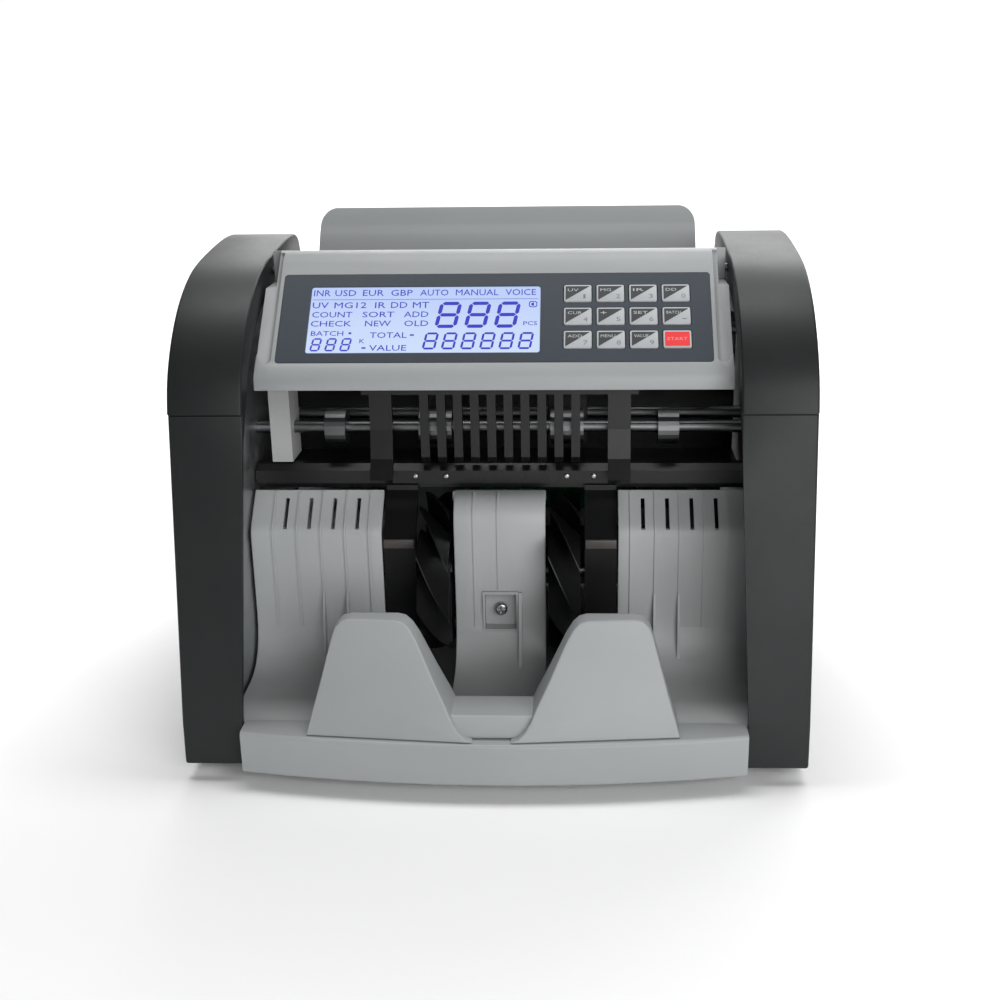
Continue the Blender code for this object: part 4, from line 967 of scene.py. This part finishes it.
# ---- hopper ----------------------------------------------------------------------------------------
def hopper_plate():
    """Bent back plate with broad folds and two round upper corners."""
    sheet = curve_through([(46.8, 196.0), (52.0, 203.4), (58.4, 211.8), (64.2, 221.6), (69.0, 227.6),
                           (73.8, 235.8)], 3)
    plate = side_solid("hopper_plate", sheet + offset_line(sheet, 2.3)[::-1], -97.8, 97.8)
    for side in (-1.0, 1.0):
        corner = [(88.8, 240.0), (101.0, 240.0), (101.0, 226.8)] + arc((88.8, 226.8), 9.0, 0.0, 90.0, 10)
        cut(plate, front_solid("tool", [(side * x, z) for x, z in corner], 30.0, 95.0))
    round_edges(plate, 0.7, 3, 40.0)
    finish_piece(plate, "chassis", "light_plastic", ["hopper_back_plate"], angle=30.0)


# ---- rear ------------------------------------------------------------------------------------------
def rear_details():
    """Black dust mat behind the vent slots."""
    mat = box_solid("dust_mat", (18.0, 105.6, 19.0), (82.0, 108.2, 47.0))
    edit_all(mat)
    bpy.ops.mesh.subdivide(number_cuts=3)
    bpy.ops.object.mode_set(mode="OBJECT")
    round_edges(mat, 0.6, 2, 50.0)
    finish_piece(mat, "chassis", "rubber")


# ---- floor, light and camera -----------------------------------------------------------------------
def pale_floor():
    """Plain pale floor that runs up into a backdrop with one swept bend."""
    sweep = [(-3000.0, -0.5), (900.0, -0.5)] + arc((900.0, 999.5), 1000.0, 270.0, 360.0, 24)
    sweep += [(1900.0, 4000.0)]
    under = [(1930.0, 4000.0), (1930.0, -30.0), (-3000.0, -30.0)]
    floor = side_solid("floor", sweep + under, -4000.0, 4000.0)
    smooth(floor, 30.0)
    f = Finish("pale_paper")
    cloud = f.noise(f.place(), 3.0, 2.0)
    tone = f.mix(cloud, (0.89, 0.89, 0.89, 1.0), (0.91, 0.91, 0.91, 1.0))
    floor.data.materials.append(f.surface(Base_Color=tone, Roughness=0.85 + cloud * 0.05))


def area_light(name, place, aim, size, power):
    """Rectangular soft box at a place, turned toward its aim."""
    data = bpy.data.lights.new(name, "AREA")
    data.shape = "RECTANGLE"
    data.size, data.size_y = size
    data.energy = power
    lamp = bpy.data.objects.new(name, data)
    bpy.context.scene.collection.objects.link(lamp)
    lamp.location = place
    lamp.rotation_euler = (Vector(aim) - Vector(place)).to_track_quat("-Z", "Y").to_euler()


ROOM_LIGHT = 0.10


def studio_light():
    """Soft key from the right beside the camera, a box behind for the tops, and a lit backdrop."""
    area_light("key", (0.52, -1.15, 0.42), (0.0, -0.04, 0.10), (1.1, 0.9), 14.0)
    area_light("rear_box", (0.30, 1.15, 0.95), (0.0, 0.0, 0.20), (1.7, 0.8), 12.0)
    area_light("backdrop", (0.0, 0.40, 2.40), (0.0, 1.90, 0.60), (2.0, 0.8), 60.0)
    world = bpy.data.worlds.new("pale_room")
    world.use_nodes = True
    world.node_tree.nodes["Background"].inputs[0].default_value = (1.0, 1.0, 1.0, 1.0)
    world.node_tree.nodes["Background"].inputs[1].default_value = ROOM_LIGHT
    bpy.context.scene.world = world
    bpy.context.scene.view_settings.view_transform = "Standard"


CAMERA_PLACE = (0.0391, -0.6155, 0.3001)
CAMERA_PITCH = 18.15
CAMERA_YAW = -2.41
CAMERA_ROLL = -0.72
CAMERA_SENSOR = 36.0
CAMERA_LENS = 1.291 * CAMERA_SENSOR
CAMERA_SHIFT = -0.03
CAMERA_NEAR = 0.02
CAMERA_FAR = 20.0


def camera():
    """Camera a little above and in front of the machine, looking down at the pocket."""
    data = bpy.data.cameras.new("camera")
    data.lens = CAMERA_LENS
    data.sensor_width = CAMERA_SENSOR
    data.shift_x = CAMERA_SHIFT
    data.clip_start = CAMERA_NEAR
    data.clip_end = CAMERA_FAR
    shot = bpy.data.objects.new("camera", data)
    bpy.context.scene.collection.objects.link(shot)
    turn = Matrix.Rotation(math.radians(-CAMERA_YAW), 4, "Z")
    tilt = Matrix.Rotation(math.radians(90.0 - CAMERA_PITCH), 4, "X")
    roll = Matrix.Rotation(math.radians(CAMERA_ROLL), 4, "Z")
    shot.matrix_world = Matrix.Translation(CAMERA_PLACE) @ turn @ tilt @ roll
    bpy.context.scene.camera = shot


dress_cad_nodes()
side_covers()
stop_plate()
base_tray()
panel_housing()
panel_film()
screen_print()
keypad()
side_backs()
centre_back()
screw_head()
stacking_wheel()
bay_strips()
hopper_plate()
rear_details()
pale_floor()
studio_light()
camera()
bpy.context.view_layer.update()
